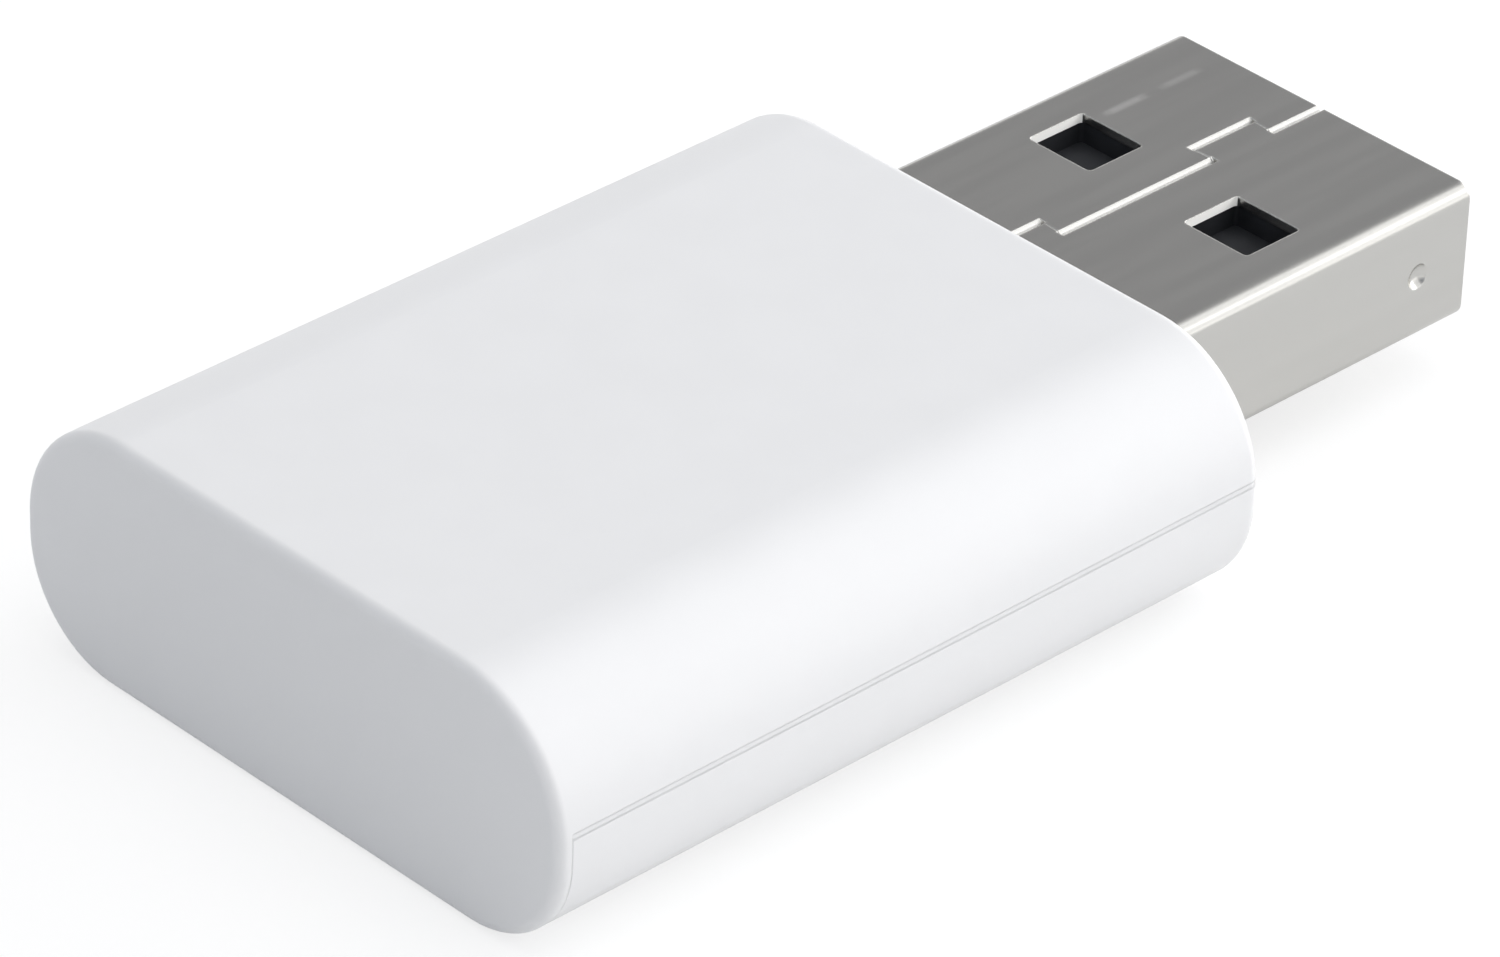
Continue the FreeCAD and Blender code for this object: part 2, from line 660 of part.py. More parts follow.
def circuit_board():
    """The main board, with slots for the plug's legs and holes for the case's pins."""
    board = rounded_plan(
        (BOARD_REAR_X, BOARD_FRONT_X),
        BOARD_WIDTH / 2,
        (BOARD_LOW_Z, BOARD_TOP_Z),
        BOARD_CORNER,
    )
    low, high = BOARD_LOW_Z - OVERRUN, BOARD_TOP_Z + OVERRUN
    cuts = []
    for side in (-1, 1):
        leg_centre = (LEG_X + LEG_WIDTH / 2, side * (PLUG_WIDTH - SHEET) / 2)
        slot = (LEG_WIDTH + 2 * SLOT_CLEARANCE, SHEET + 2 * SLOT_CLEARANCE, high - low)
        cuts.append(centred_box(leg_centre, slot, low))
        hole_radius = PIN_RADIUS + PIN_CLEARANCE
        cuts.append(upright_cylinder(POST_X, side * POST_Y, low, high, hole_radius))
    return board.cut(compound(cuts))


def module_board():
    """The radio module's board, with half-round solder notches along both sides."""
    x_range = (BOARD_REAR_X, MODULE_FRONT_X)
    board = box(x_range, both_sides(MODULE_WIDTH / 2), (BOARD_TOP_Z, MODULE_TOP_Z))
    low, high = BOARD_TOP_Z - OVERRUN, MODULE_TOP_Z + OVERRUN
    notches = []
    for side in (-1, 1):
        for i in range(CASTELLATION_COUNT):
            x = MODULE_FRONT_X - CASTELLATION_FROM_FRONT - i * CASTELLATION_PITCH
            notches.append(
                upright_cylinder(x, side * MODULE_WIDTH / 2, low, high, CASTELLATION_RADIUS)
            )
    return board.cut(compound(notches))


def antenna_trace():
    """The printed copper antenna: a feed stub and a meander across the module's rear strip."""
    near_x = BOARD_REAR_X + ANTENNA_STRIP - ANTENNA_EDGE - ANTENNA_TRACK / 2
    far_x = BOARD_REAR_X + ANTENNA_EDGE
    middle_x = (near_x + far_x) / 2
    y = -ANTENNA_TURNS * ANTENNA_PITCH
    points = [(near_x, y), (far_x, y)]
    for _ in range(ANTENNA_TURNS):
        points += [(far_x, y + ANTENNA_PITCH), (middle_x, y + ANTENNA_PITCH)]
        points += [(middle_x, y + 2 * ANTENNA_PITCH), (far_x, y + 2 * ANTENNA_PITCH)]
        y += 2 * ANTENNA_PITCH
    return strip_in_plan(points, ANTENNA_TRACK, MODULE_TOP_Z, MODULE_TOP_Z + ANTENNA_COPPER)


def can_centre():
    return (MODULE_FRONT_X - CAN_FROM_FRONT - CAN_LENGTH / 2, 0)


def shield_can():
    """The drawn tin can over the radio, open below, with vent holes in its roof."""
    x, y = can_centre()
    outer = centred_box((x, y), (CAN_LENGTH, CAN_WIDTH, CAN_HEIGHT), MODULE_TOP_Z)
    outer = outer.makeFillet(CAN_CORNER, [e for e in outer.Edges if is_upright(e)])
    roof_z = MODULE_TOP_Z + CAN_HEIGHT
    roof_rim = [e for e in outer.Edges if e.BoundBox.ZMin > roof_z - TOUCH]
    outer = outer.makeChamfer(CAN_SHEET / 2, roof_rim)
    hollow_size = (CAN_LENGTH - 2 * CAN_SHEET, CAN_WIDTH - 2 * CAN_SHEET, CAN_HEIGHT)
    hollow = centred_box((x, y), hollow_size, MODULE_TOP_Z - CAN_SHEET)
    hollow = hollow.makeFillet(CAN_CORNER - CAN_SHEET, [e for e in hollow.Edges if is_upright(e)])
    vents = [
        upright_cylinder(
            x + i * CAN_VENT_PITCH, y + j * CAN_VENT_PITCH, MODULE_TOP_Z, roof_z + OVERRUN, CAN_VENT_RADIUS
        )
        for i in (-0.5, 0.5)
        for j in (-0.5, 0.5)
    ]
    return outer.cut(hollow).cut(compound(vents))


def radio_chip():
    """The square radio chip, against the can's +Y end, with its first-pin mark."""
    x, y = can_centre()
    y += (SIDE_STRIP - CHIP_ROOM_Y) / 2
    chip = centred_box((x, y), (CHIP_SIDE, CHIP_SIDE, CHIP_HEIGHT), MODULE_TOP_Z)
    mark = upright_cylinder(
        x + CHIP_SIDE / 2 - CHIP_MARK_FROM_EDGE,
        y + CHIP_SIDE / 2 - CHIP_MARK_FROM_EDGE,
        MODULE_TOP_Z + CHIP_HEIGHT - CHIP_MARK_DEPTH,
        MODULE_TOP_Z + CHIP_HEIGHT + OVERRUN,
        CHIP_MARK_RADIUS,
    )
    return chip.cut(mark)


def side_strip_y():
    """The middle of the strip under the can that the chip leaves free."""
    return can_centre()[1] - CAN_WIDTH / 2 + CAN_SHEET + SIDE_STRIP / 2


def radio_crystal():
    x = can_centre()[0] + CAN_LENGTH / 4
    size = (CRYSTAL_LENGTH, CRYSTAL_WIDTH, CRYSTAL_HEIGHT)
    crystal = centred_box((x, side_strip_y()), size, MODULE_TOP_Z)
    return crystal.makeFillet(CRYSTAL_CORNER, [e for e in crystal.Edges if is_upright(e)])


def decoupling_capacitors():
    """The row of small capacitors beside the crystal, as separate solids."""
    x = can_centre()[0] - CAN_LENGTH / 4
    size = (DECOUPLER_LENGTH, DECOUPLER_WIDTH, DECOUPLER_WIDTH)
    first = side_strip_y() - (DECOUPLER_COUNT - 1) * DECOUPLER_PITCH / 2
    return compound(
        centred_box((x, first + i * DECOUPLER_PITCH), size, MODULE_TOP_Z)
        for i in range(DECOUPLER_COUNT)
    )


def voltage_regulator():
    """The regulator's moulded body, tapered from its middle to its top and bottom."""
    low = BOARD_TOP_Z + REGULATOR_STANDOFF
    high = BOARD_TOP_Z + REGULATOR_HEIGHT
    rings = []
    for z, inset in ((low, REGULATOR_TAPER), ((low + high) / 2, 0), (high, REGULATOR_TAPER)):
        x_half = REGULATOR_LENGTH / 2 - inset
        y_half = REGULATOR_WIDTH / 2 - inset
        corners = [
            vector(COMPONENT_ROW_X + sx * x_half, REGULATOR_Y + sy * y_half, z)
            for sx, sy in ((-1, -1), (1, -1), (1, 1), (-1, 1))
        ]
        rings.append(Part.makePolygon(corners + corners[:1]))
    return Part.makeLoft(rings, True, True)


def regulator_leads():
    """Five gull-wing leads: three on one side of the body and two on the other."""
    body_z = BOARD_TOP_Z + (REGULATOR_STANDOFF + REGULATOR_HEIGHT) / 2
    foot_z = BOARD_TOP_Z + LEAD_THICKNESS / 2
    leads = []
    for side, rows in ((-1, (-1, 0, 1)), (1, (-1, 1))):
        points = [
            (REGULATOR_WIDTH / 2, body_z),
            (REGULATOR_WIDTH / 2 + LEAD_REACH / 3, body_z),
            (REGULATOR_WIDTH / 2 + LEAD_REACH / 2, foot_z),
            (REGULATOR_WIDTH / 2 + LEAD_REACH, foot_z),
        ]
        for row in rows:
            lead = strip_in_side_view(points, LEAD_THICKNESS, 0, LEAD_WIDTH)
            lead.rotate(vector(0, 0, 0), vector(0, 0, 1), side * 90)
            lead.translate(vector(COMPONENT_ROW_X + row * LEAD_PITCH, REGULATOR_Y, 0))
            leads.append(lead)
    return compound(leads)


def chip_part(y, length, width, height):
    """A plain rectangular part on the board's component row, long side along X."""
    return centred_box((COMPONENT_ROW_X, y), (length, width, height), BOARD_TOP_Z)


def storage_capacitor(y):
    part = chip_part(y, CAPACITOR_LENGTH, CAPACITOR_WIDTH, CAPACITOR_HEIGHT)
    return part.makeChamfer(CAPACITOR_EDGE, part.Edges)


def status_led():
    """The light: a flat base with a smaller clear block on it."""
    base = chip_part(LED_Y, SMALL_CHIP_LENGTH, SMALL_CHIP_WIDTH, LED_BASE_HEIGHT)
    lens = chip_part(LED_Y, LED_LENS_LENGTH, SMALL_CHIP_WIDTH, LED_HEIGHT)
    return base.fuse(lens).removeSplitter()


def build():
    nodes = {
        "upper_shell": upper_shell(),
        "lower_shell": lower_shell(),
        "plug_shell": plug_shell(),
        "plug_insulator": plug_insulator(),
        "circuit_board": circuit_board(),
        "module_board": module_board(),
        "antenna_trace": antenna_trace(),
        "shield_can": shield_can(),
        "radio_chip": radio_chip(),
        "radio_crystal": radio_crystal(),
        "decoupling_capacitors": decoupling_capacitors(),
        "voltage_regulator": voltage_regulator(),
        "regulator_leads": regulator_leads(),
        "input_capacitor": storage_capacitor(INPUT_CAPACITOR_Y),
        "output_capacitor": storage_capacitor(OUTPUT_CAPACITOR_Y),
        "led_resistor": chip_part(RESISTOR_Y, SMALL_CHIP_LENGTH, SMALL_CHIP_WIDTH, RESISTOR_HEIGHT),
        "status_led": status_led(),
    }
    for name, y, setback in CONTACT_ROWS:
        nodes[name] = plug_contact(y, setback)
    return nodes


os.makedirs("parts", exist_ok=True)
for node_name, node_shape in build().items():
    node_shape.exportStep(os.path.join("parts", node_name + ".step"))
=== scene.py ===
import math

import bmesh
import bpy
from bpy.props import FloatProperty, FloatVectorProperty, PointerProperty
from mathutils import Matrix, Vector


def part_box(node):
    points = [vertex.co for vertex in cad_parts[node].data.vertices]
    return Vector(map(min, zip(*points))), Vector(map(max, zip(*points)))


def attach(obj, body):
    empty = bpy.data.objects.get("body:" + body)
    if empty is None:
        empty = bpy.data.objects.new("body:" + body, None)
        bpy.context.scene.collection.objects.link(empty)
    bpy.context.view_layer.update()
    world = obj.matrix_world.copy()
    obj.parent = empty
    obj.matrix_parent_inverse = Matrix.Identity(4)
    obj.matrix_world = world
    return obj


bl_info = {
    "name": "Signal Repeater Finish",
    "version": (1, 0, 0),
    "blender": (4, 5, 0),
    "location": "View3D > Sidebar > Repeater",
    "description": "Finishes, solder joints and studio for a plug-in signal repeater",
    "category": "Object",
}

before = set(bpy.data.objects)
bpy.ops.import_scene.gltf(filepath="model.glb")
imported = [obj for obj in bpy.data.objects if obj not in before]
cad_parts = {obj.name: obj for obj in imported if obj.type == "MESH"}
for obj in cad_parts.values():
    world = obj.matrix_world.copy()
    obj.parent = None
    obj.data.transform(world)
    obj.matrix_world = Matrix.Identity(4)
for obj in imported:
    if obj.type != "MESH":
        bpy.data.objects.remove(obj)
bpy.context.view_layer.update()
MM = 0.001

CONTACTS = ("ground_contact", "data_plus_contact", "data_minus_contact", "supply_contact")
END_SOLDERED = ("input_capacitor", "output_capacitor", "led_resistor", "status_led")


# ---------------------------------------------------------------- settings


def colour(label, text, value):
    return FloatVectorProperty(
        name=label, description=text, subtype="COLOR", size=3, min=0.0, max=1.0, default=value
    )


def share(label, text, value):
    return FloatProperty(
        name=label, description=text, subtype="FACTOR", min=0.0, max=1.0, default=value
    )


def length(label, text, value_mm):
    return FloatProperty(
        name=label, description=text, unit="LENGTH", min=0.0, precision=6, default=value_mm * MM
    )


def angle(label, text, degrees):
    return FloatProperty(
        name=label, description=text, subtype="ANGLE", default=math.radians(degrees)
    )


def level(label, text, value):
    return FloatProperty(name=label, description=text, min=0.0, default=value)


class CaseSettings(bpy.types.PropertyGroup):
    white: colour("White", "Colour of the moulded case", (0.80, 0.797, 0.80))
    roughness: share("Roughness", "How satin the moulded skin is", 0.36)
    grain: length("Grain", "Width of one grain of the mould's eroded texture", 0.11)
    grain_depth: length("Grain depth", "Height of the grain", 0.0012)
    edge_radius: length("Edge radius", "How softly the moulded edges turn", 0.1)
    sink: length("Sink depth", "Height of the broad waves that moulding leaves", 0.006)


class PlugSettings(bpy.types.PropertyGroup):
    steel: colour("Steel", "Colour of the nickel-plated sheet", (0.55, 0.542, 0.518))
    # The same pale colour also paints the reflection streaks on the plug's top
    sheared_and_glint: colour("Sheared edge", "Colour of the sheet's cut edges", (0.96, 0.945, 0.91))
    roughness: share("Roughness", "How blurred the sheet's reflections are", 0.24)
    line_width: length("Line width", "Width of one rolling line", 0.05)
    line_depth: length("Line depth", "Height of the rolling lines", 0.0001)
    edge_radius: length("Edge radius", "How far the wear reaches over an edge", 0.09)
    gold: colour("Gold", "Colour of the contacts' plating", (0.83, 0.60, 0.27))
    black: colour("Black", "Colour of the insulator", (0.017, 0.018, 0.021))


class BoardSettings(bpy.types.PropertyGroup):
    green: colour("Main mask", "Solder mask of the main board", (0.012, 0.115, 0.045))
    blue: colour("Module mask", "Solder mask of the radio module", (0.010, 0.035, 0.11))
    laminate: colour("Laminate", "Glass laminate at the boards' edges", (0.46, 0.42, 0.27))
    copper: colour("Copper", "Bare copper of the antenna", (0.72, 0.43, 0.27))
    tin: colour("Tin", "Tinned pads, sheet and solder", (0.70, 0.70, 0.685))
    resin: colour("Resin", "Black resin of the chips", (0.028, 0.028, 0.031))
    ceramic: colour("Ceramic", "Fired body of the capacitors", (0.42, 0.29, 0.17))
    lens: colour("Lens", "Resin over the light", (0.80, 0.72, 0.38))
    track: length("Track", "Width of a printed track", 0.22)
    track_pitch: length("Track pitch", "Distance between printed tracks", 0.52)


class StudioSettings(bpy.types.PropertyGroup):
    azimuth: angle("Azimuth", "Camera's turn round the part, from the -Y side", -44.6247)
    elevation: angle("Elevation", "Camera's height above the floor", 32.7939)
    roll: angle("Roll", "Camera's turn about its own axis", 1.8810)
    distance: length("Distance", "From the camera to the point that it looks at", 228.141)
    lens: level("Lens", "Focal length in millimetres on a 36 mm wide picture", 202.166)
    target: FloatVectorProperty(
        name="Target",
        description="The point that the camera looks at",
        subtype="TRANSLATION",
        unit="LENGTH",
        size=3,
        default=(-0.00798453, -0.00511091, 0.00772686),
    )
    key: level("Key light", "Power of the soft box beside the part, in watts", 1.52)
    top: level("Top light", "Power of the soft box above the part, in watts", 2.04)
    rim: level("Rim light", "Power of the soft box beyond the plug, in watts", 2.10)
    fill: level("Fill light", "Power of the low soft box by the closed end, in watts", 0.08)
    horizon: colour("Horizon", "Studio wall near the floor", (1.0, 1.0, 1.0))
    wall: colour("Wall", "Studio wall that the steel mirrors", (0.395, 0.398, 0.412))
    ceiling: colour("Ceiling", "Studio ceiling", (0.62, 0.63, 0.64))
    shade: colour("Shade side", "Tint of the wall behind the closed end", (0.295, 0.33, 0.38))
    floor: colour("Floor", "Paper that the part lies on", (0.80, 0.80, 0.80))
    floor_shadow: share("Shadow share", "How much of the seen floor depends on the light", 0.3)
    mirrored_shadow: share("Mirrored shadow", "The same share where a surface mirrors it", 0.85)
    floor_light: level("Floor light", "How bright the lit paper is where nothing shades it", 0.95)


# ------------------------------------------------------------ node helpers


class NodeSheet:
    """A node tree that is being filled in. A value is a number, a vector or another socket."""

    def __init__(self, tree):
        self.tree = tree

    def put(self, socket, value):
        """Links an input to another node's socket, or sets it to a plain value."""
        if isinstance(value, bpy.types.NodeSocket):
            self.tree.links.new(value, socket)
        else:
            socket.default_value = value

    def add(self, kind, inputs=None, **settings):
        node = self.tree.nodes.new("ShaderNode" + kind)
        for name, value in settings.items():
            setattr(node, name, value)
        for key, value in (inputs or {}).items():
            self.put(node.inputs[key], value)
        return node

    def math(self, operation, *values):
        return self.add("Math", dict(enumerate(values)), operation=operation).outputs[0]

    def vector(self, operation, *values):
        node = self.add("VectorMath", dict(enumerate(values)), operation=operation)
        return node.outputs["Value" if operation in ("LENGTH", "DOT_PRODUCT") else "Vector"]

    def ramp(self, value, low, high, out_low=0.0, out_high=1.0):
        """Value carried smoothly from the range low to high to the range out_low to out_high."""
        inputs = {"Value": value, 1: low, 2: high, 3: out_low, 4: out_high}
        return self.add("MapRange", inputs, interpolation_type="SMOOTHSTEP").outputs["Result"]

    def fade(self, value, low, high):
        """1 up to low and 0 from high on, with a smooth passage."""
        return self.ramp(value, low, high, 1.0, 0.0)

    def spread(self, mask, low, high):
        """Low where the mask is 0 and high where it is 1, with a smooth passage."""
        return self.ramp(mask, 0.0, 1.0, low, high)

    def blend(self, factor, first, second):
        """Colour first where factor is 0 and second where it is 1."""
        inputs = {0: factor, 6: rgba(first), 7: rgba(second)}
        return self.add("Mix", inputs, data_type="RGBA").outputs[2]

    def mix(self, factor, first, second):
        """Number first where factor is 0 and second where it is 1."""
        return self.add("Mix", {0: factor, 2: first, 3: second}).outputs[0]

    def noise(self, position, scale, detail=2.0, roughness=0.5):
        inputs = {"Vector": position, "Scale": scale, "Detail": detail, "Roughness": roughness}
        return self.add("TexNoise", inputs).outputs["Fac"]

    def group(self, name, inputs):
        return self.add("Group", inputs, node_tree=bpy.data.node_groups[name]).outputs

    def position(self):
        """The place on the part in millimetres, in the model's own frame."""
        place = self.add("TexCoord").outputs["Object"]
        return self.add("VectorMath", {0: place, "Scale": 1 / MM}, operation="SCALE").outputs[0]

    def facing(self):
        """The way that a flat face looks, as X, Y and Z."""
        return self.axes(self.add("TexCoord").outputs["Normal"])

    def axes(self, vector):
        return self.add("SeparateXYZ", {0: vector}).outputs

    def bump(self, height, depth, normal=None):
        inputs = {"Height": height, "Distance": depth, "Strength": 1.0}
        if normal is not None:
            inputs["Normal"] = normal
        return self.add("Bump", inputs).outputs["Normal"]

    def link(self, source, target):
        self.tree.links.new(source, target)

    def feed(self, shader, **sources):
        """Links sources to the shader's inputs, each named after its input."""
        for label, source in sources.items():
            self.link(source, shader.inputs[label.replace("_", " ").title()])


def rgba(value):
    """A colour with its alpha, or a socket as it is."""
    if isinstance(value, bpy.types.NodeSocket):
        return value
    return (*value, 1.0)


def shaded(base, factor):
    """A colour made darker or paler."""
    return tuple(min(1.0, c * factor) for c in base)


def empty_sheet(owner):
    """The emptied node tree of a new material or world."""
    owner.use_nodes = True
    owner.node_tree.nodes.clear()
    return NodeSheet(owner.node_tree)


def effect(name, inputs, outputs):
    """A new node group: its sheet, what it is given and what it puts out."""
    group = bpy.data.node_groups.new(name, "ShaderNodeTree")
    for label, kind, value in inputs:
        socket = group.interface.new_socket(
            label, in_out="INPUT", socket_type="NodeSocket" + kind
        )
        if value is not None:
            socket.default_value = value
    for label, kind in outputs:
        group.interface.new_socket(label, in_out="OUTPUT", socket_type="NodeSocket" + kind)
    given = group.nodes.new("NodeGroupInput").outputs
    return NodeSheet(group), given, group.nodes.new("NodeGroupOutput").inputs


def new_material(name, metallic=0.0):
    """A material with one Principled BSDF, the sheet to fill in, and that shader."""
    material = bpy.data.materials.new(name)
    sheet = empty_sheet(material)
    shader = sheet.add("BsdfPrincipled", {"Metallic": metallic})
    sheet.add("OutputMaterial", {"Surface": shader.outputs[0]})
    return material, sheet, shader


def wear_material(node_name, material):
    """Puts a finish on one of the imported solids."""
    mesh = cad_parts[node_name].data
    mesh.materials.clear()
    mesh.materials.append(material)


def mesh_from(name, shape):
    """A named mesh from a bmesh, which is freed."""
    data = bpy.data.meshes.new(name)
    shape.to_mesh(data)
    shape.free()
    return data


def place_in_scene(name, data):
    """A new object in the scene for a mesh, a lamp or a camera."""
    placed = bpy.data.objects.new(name, data)
    bpy.context.scene.collection.objects.link(placed)
    return placed


# --------------------------------------------------------- shared effects

# The range over which a mask turns on or off, in values of the noise or measure behind it
TONE_TURN = (0.3, 0.7)
SCRATCH_TURN = (0.68, 0.74)
RUBBED_TURN = (0.01, 0.16)
RUBBED_PATCHES = (0.25, 0.6)
BLOCK_TURN = (0.495, 0.505)
BLOCK_KEPT = (0.44, 0.45)
VIA_EDGE = (0.10, 0.13)
STREAK_SIDE = (0.2, 1.3)

# The same for masks that come from a distance, and how far above or below its centre a streak
# still shows
TINNED_EDGE = (-0.01, 0.03)
TRACK_EDGE = (-0.03, 0.03)
PAD_EDGE = (0.04, 0.07)
STREAK_END = (-0.25, 0.3)
STREAK_DEPTH = 0.05

# How much coarser than the rolling lines their broad tone and their scratches are, as factors on
# the place along X, Y and Z
BROAD_LINES = (0.5, 0.08, 0.08)
SPARSE_LINES = (0.25, 0.45, 0.45)

# Blocks of tracks that run one way, how far the pattern of the empty ones is shifted, and how
# many cells of the vias' pattern go into a millimetre
TRACK_BLOCK = (2.6, 1.56, 9.0)
BLOCK_SHIFT = (7.0, 3.0, 0.0)
VIA_CELLS = 0.55


def make_moulded_grain():
    """The satin of an eroded mould, over the broad waves of shrinking plastic."""
    sheet, given, out = effect(
        "moulded_grain",
        [("Position", "Vector", None), ("Grain", "Float", 0.1), ("Wave", "Float", 5.0)],
        [("Height", "Float"), ("Wave height", "Float"), ("Tone", "Float")],
    )
    grain_scale = sheet.math("DIVIDE", 1.0, given["Grain"])
    wave_scale = sheet.math("DIVIDE", 1.0, given["Wave"])
    fine = sheet.noise(given["Position"], grain_scale, detail=3.0, roughness=0.6)
    broad = sheet.noise(given["Position"], wave_scale, detail=1.0)
    patches = sheet.noise(given["Position"], sheet.math("MULTIPLY", wave_scale, 3.0), detail=3.0)
    sheet.link(fine, out["Height"])
    sheet.link(broad, out["Wave height"])
    sheet.link(sheet.ramp(patches, *TONE_TURN), out["Tone"])


def make_rolled_grain():
    """Fine lines along X, as rolling and drawing leave on sheet, with a few longer scratches."""
    sheet, given, out = effect(
        "rolled_grain",
        [("Position", "Vector", None), ("Line", "Float", 0.05), ("Run", "Float", 3.0)],
        [("Height", "Float"), ("Tone", "Float"), ("Scratch", "Float")],
    )
    across = sheet.math("DIVIDE", 1.0, given["Line"])
    along = sheet.math("DIVIDE", 1.0, given["Run"])
    stretch = sheet.add("CombineXYZ", {0: along, 1: across, 2: across}).outputs[0]
    place = sheet.vector("MULTIPLY", given["Position"], stretch)
    lines = sheet.noise(place, 1.0, detail=3.0, roughness=0.65)
    sheet.link(lines, out["Height"])
    broad = sheet.vector("MULTIPLY", place, BROAD_LINES)
    sheet.link(sheet.ramp(sheet.noise(broad, 1.0, detail=3.0), *TONE_TURN), out["Tone"])
    sparse = sheet.vector("MULTIPLY", place, SPARSE_LINES)
    sheet.link(sheet.ramp(sheet.noise(sparse, 1.0, detail=1.0), *SCRATCH_TURN), out["Scratch"])


def make_worn_edges():
    """Where edges are rubbed: the difference between the true normal and a rounded one."""
    sheet, given, out = effect(
        "worn_edges",
        [("Position", "Vector", None), ("Radius", "Float", 0.05 * MM)],
        [("Mask", "Float"), ("Normal", "Vector")],
    )
    rounded = sheet.add("Bevel", {"Radius": given["Radius"]}, samples=6).outputs["Normal"]
    true = sheet.add("NewGeometry").outputs["Normal"]
    turn = sheet.math("SUBTRACT", 1.0, sheet.vector("DOT_PRODUCT", rounded, true))
    patchy = sheet.ramp(sheet.noise(given["Position"], 1.6, detail=3.0), *RUBBED_PATCHES)
    sheet.link(sheet.math("MULTIPLY", sheet.ramp(turn, *RUBBED_TURN), patchy), out["Mask"])
    sheet.link(rounded, out["Normal"])


def make_tinned_ends():
    """The two metal ends of a small part that lies along X."""
    sheet, given, out = effect(
        "tinned_ends",
        [
            ("Position", "Vector", None),
            ("Middle", "Float", 0.0),
            ("Half length", "Float", 1.0),
            ("Band", "Float", 0.3),
        ],
        [("Mask", "Float")],
    )
    x = sheet.axes(given["Position"])["X"]
    off_middle = sheet.math("ABSOLUTE", sheet.math("SUBTRACT", x, given["Middle"]))
    from_end = sheet.math("SUBTRACT", given["Half length"], off_middle)
    ragged = sheet.math("MULTIPLY", sheet.noise(given["Position"], 6.0), 0.08)
    edge = sheet.math("SUBTRACT", sheet.math("ADD", from_end, ragged), given["Band"])
    sheet.link(sheet.fade(edge, *TINNED_EDGE), out["Mask"])


def make_printed_tracks():
    """Printed tracks that show through the solder mask, in blocks that run along X or along Y."""
    sheet, given, out = effect(
        "printed_tracks",
        [("Position", "Vector", None), ("Pitch", "Float", 0.5), ("Width", "Float", 0.2)],
        [("Mask", "Float"), ("Via", "Float")],
    )
    x, y, _ = sheet.axes(given["Position"])
    half = sheet.math("MULTIPLY", given["Width"], 0.5)
    lines = []
    for coordinate in (x, y):
        fold = sheet.math("PINGPONG", coordinate, sheet.math("MULTIPLY", given["Pitch"], 0.5))
        lines.append(sheet.fade(sheet.math("SUBTRACT", fold, half), *TRACK_EDGE))
    blocks = sheet.vector("SNAP", given["Position"], TRACK_BLOCK)
    turn = sheet.ramp(sheet.noise(blocks, 0.9, detail=0.0), *BLOCK_TURN)
    kept = sheet.ramp(sheet.noise(sheet.vector("ADD", blocks, BLOCK_SHIFT), 1.3), *BLOCK_KEPT)
    either = sheet.mix(turn, *lines)
    sheet.link(sheet.math("MULTIPLY", either, kept), out["Mask"])
    cells = {"Vector": given["Position"], "Scale": VIA_CELLS, "Randomness": 0.8}
    spot = sheet.add("TexVoronoi", cells, voronoi_dimensions="2D").outputs["Distance"]
    sheet.link(sheet.fade(spot, *VIA_EDGE), out["Via"])


def make_reflection_streak():
    """Painted reflection: a short streak along X, soft at its sides and ragged at its ends, on an
    upward face.
    """
    sheet, given, out = effect(
        "rub_mark",
        [
            ("Position", "Vector", None),
            ("Centre", "Vector", None),
            ("Half length", "Float", 1.0),
            ("Half width", "Float", 0.1),
        ],
        [("Mask", "Float")],
    )
    offset = sheet.vector("SUBTRACT", given["Position"], given["Centre"])
    x, y, z = sheet.axes(sheet.vector("ABSOLUTE", offset))
    ragged = sheet.math("MULTIPLY", sheet.noise(given["Position"], 3.0, detail=3.0), 0.5)
    past_end = sheet.math("SUBTRACT", sheet.math("ADD", x, ragged), given["Half length"])
    ends = sheet.fade(past_end, *STREAK_END)
    sides = sheet.fade(sheet.math("DIVIDE", y, given["Half width"]), *STREAK_SIDE)
    level_face = sheet.math("LESS_THAN", z, STREAK_DEPTH)
    streak = sheet.math("MULTIPLY", ends, sides)
    sheet.link(sheet.math("MULTIPLY", streak, level_face), out["Mask"])


def make_pad_patch():
    """One rectangular pad with soft corners, seen from above."""
    sheet, given, out = effect(
        "pad_patch",
        [("Position", "Vector", None), ("Centre", "Vector", None), ("Half size", "Vector", None)],
        [("Mask", "Float")],
    )
    offset = sheet.vector("ABSOLUTE", sheet.vector("SUBTRACT", given["Position"], given["Centre"]))
    over = sheet.vector("MAXIMUM", sheet.vector("SUBTRACT", offset, given["Half size"]), (0, 0, 0))
    flat = sheet.vector("LENGTH", sheet.vector("MULTIPLY", over, (1.0, 1.0, 0.0)))
    sheet.link(sheet.fade(flat, *PAD_EDGE), out["Mask"])


# --------------------------------------------------------------- finishes

# Pale streaks painted on the plug's top as reflections: (from the tip, half length, strength)
REFLECTION_STREAKS = ((4.3, 1.0, 0.55), (1.95, 0.95, 0.35))
REFLECTION_STREAK_Y = 3.9
REFLECTION_STREAK_HALF_WIDTH = 0.17

# The plug's cut edges: sideways faces that lie further in than its bends. The lift turns their
# shading up by that share of a whole normal, as an edge that rolls over does.
BEND_ZONE = 0.6
SIDEWAYS_TURN = (0.6, 0.8)
SHEARED_ROUGHNESS = 0.6
SHEARED_METAL = 0.15
SHEARED_LIFT = 1.2

# How a surface strays from patch to patch: a factor on its colour, then what its roughness loses
# and gains
METAL_PATCHES = (0.975, 0.015, 0.02)
CASE_PATCHES = (1.008, 0.02, 0.03)
BLACK_PATCHES = (1.5, 0.0, 0.08)

# The factor alone, where the roughness varies in another way
LAMINATE_DARK, CERAMIC_DARK, LID_DARK, SOLDER_DARK = 0.7, 0.85, 0.92, 0.86

# How much smoother a rubbed edge is, how deep a scratch is as a share of the lines, and how much
# paler than the sheet the plug's rubbed edges are, partly wear and partly a painted highlight
RUBBED_SHINE = 0.06
SCRATCH_SHARE = 0.8
PLUG_WEAR_AND_HIGHLIGHT = 1.4

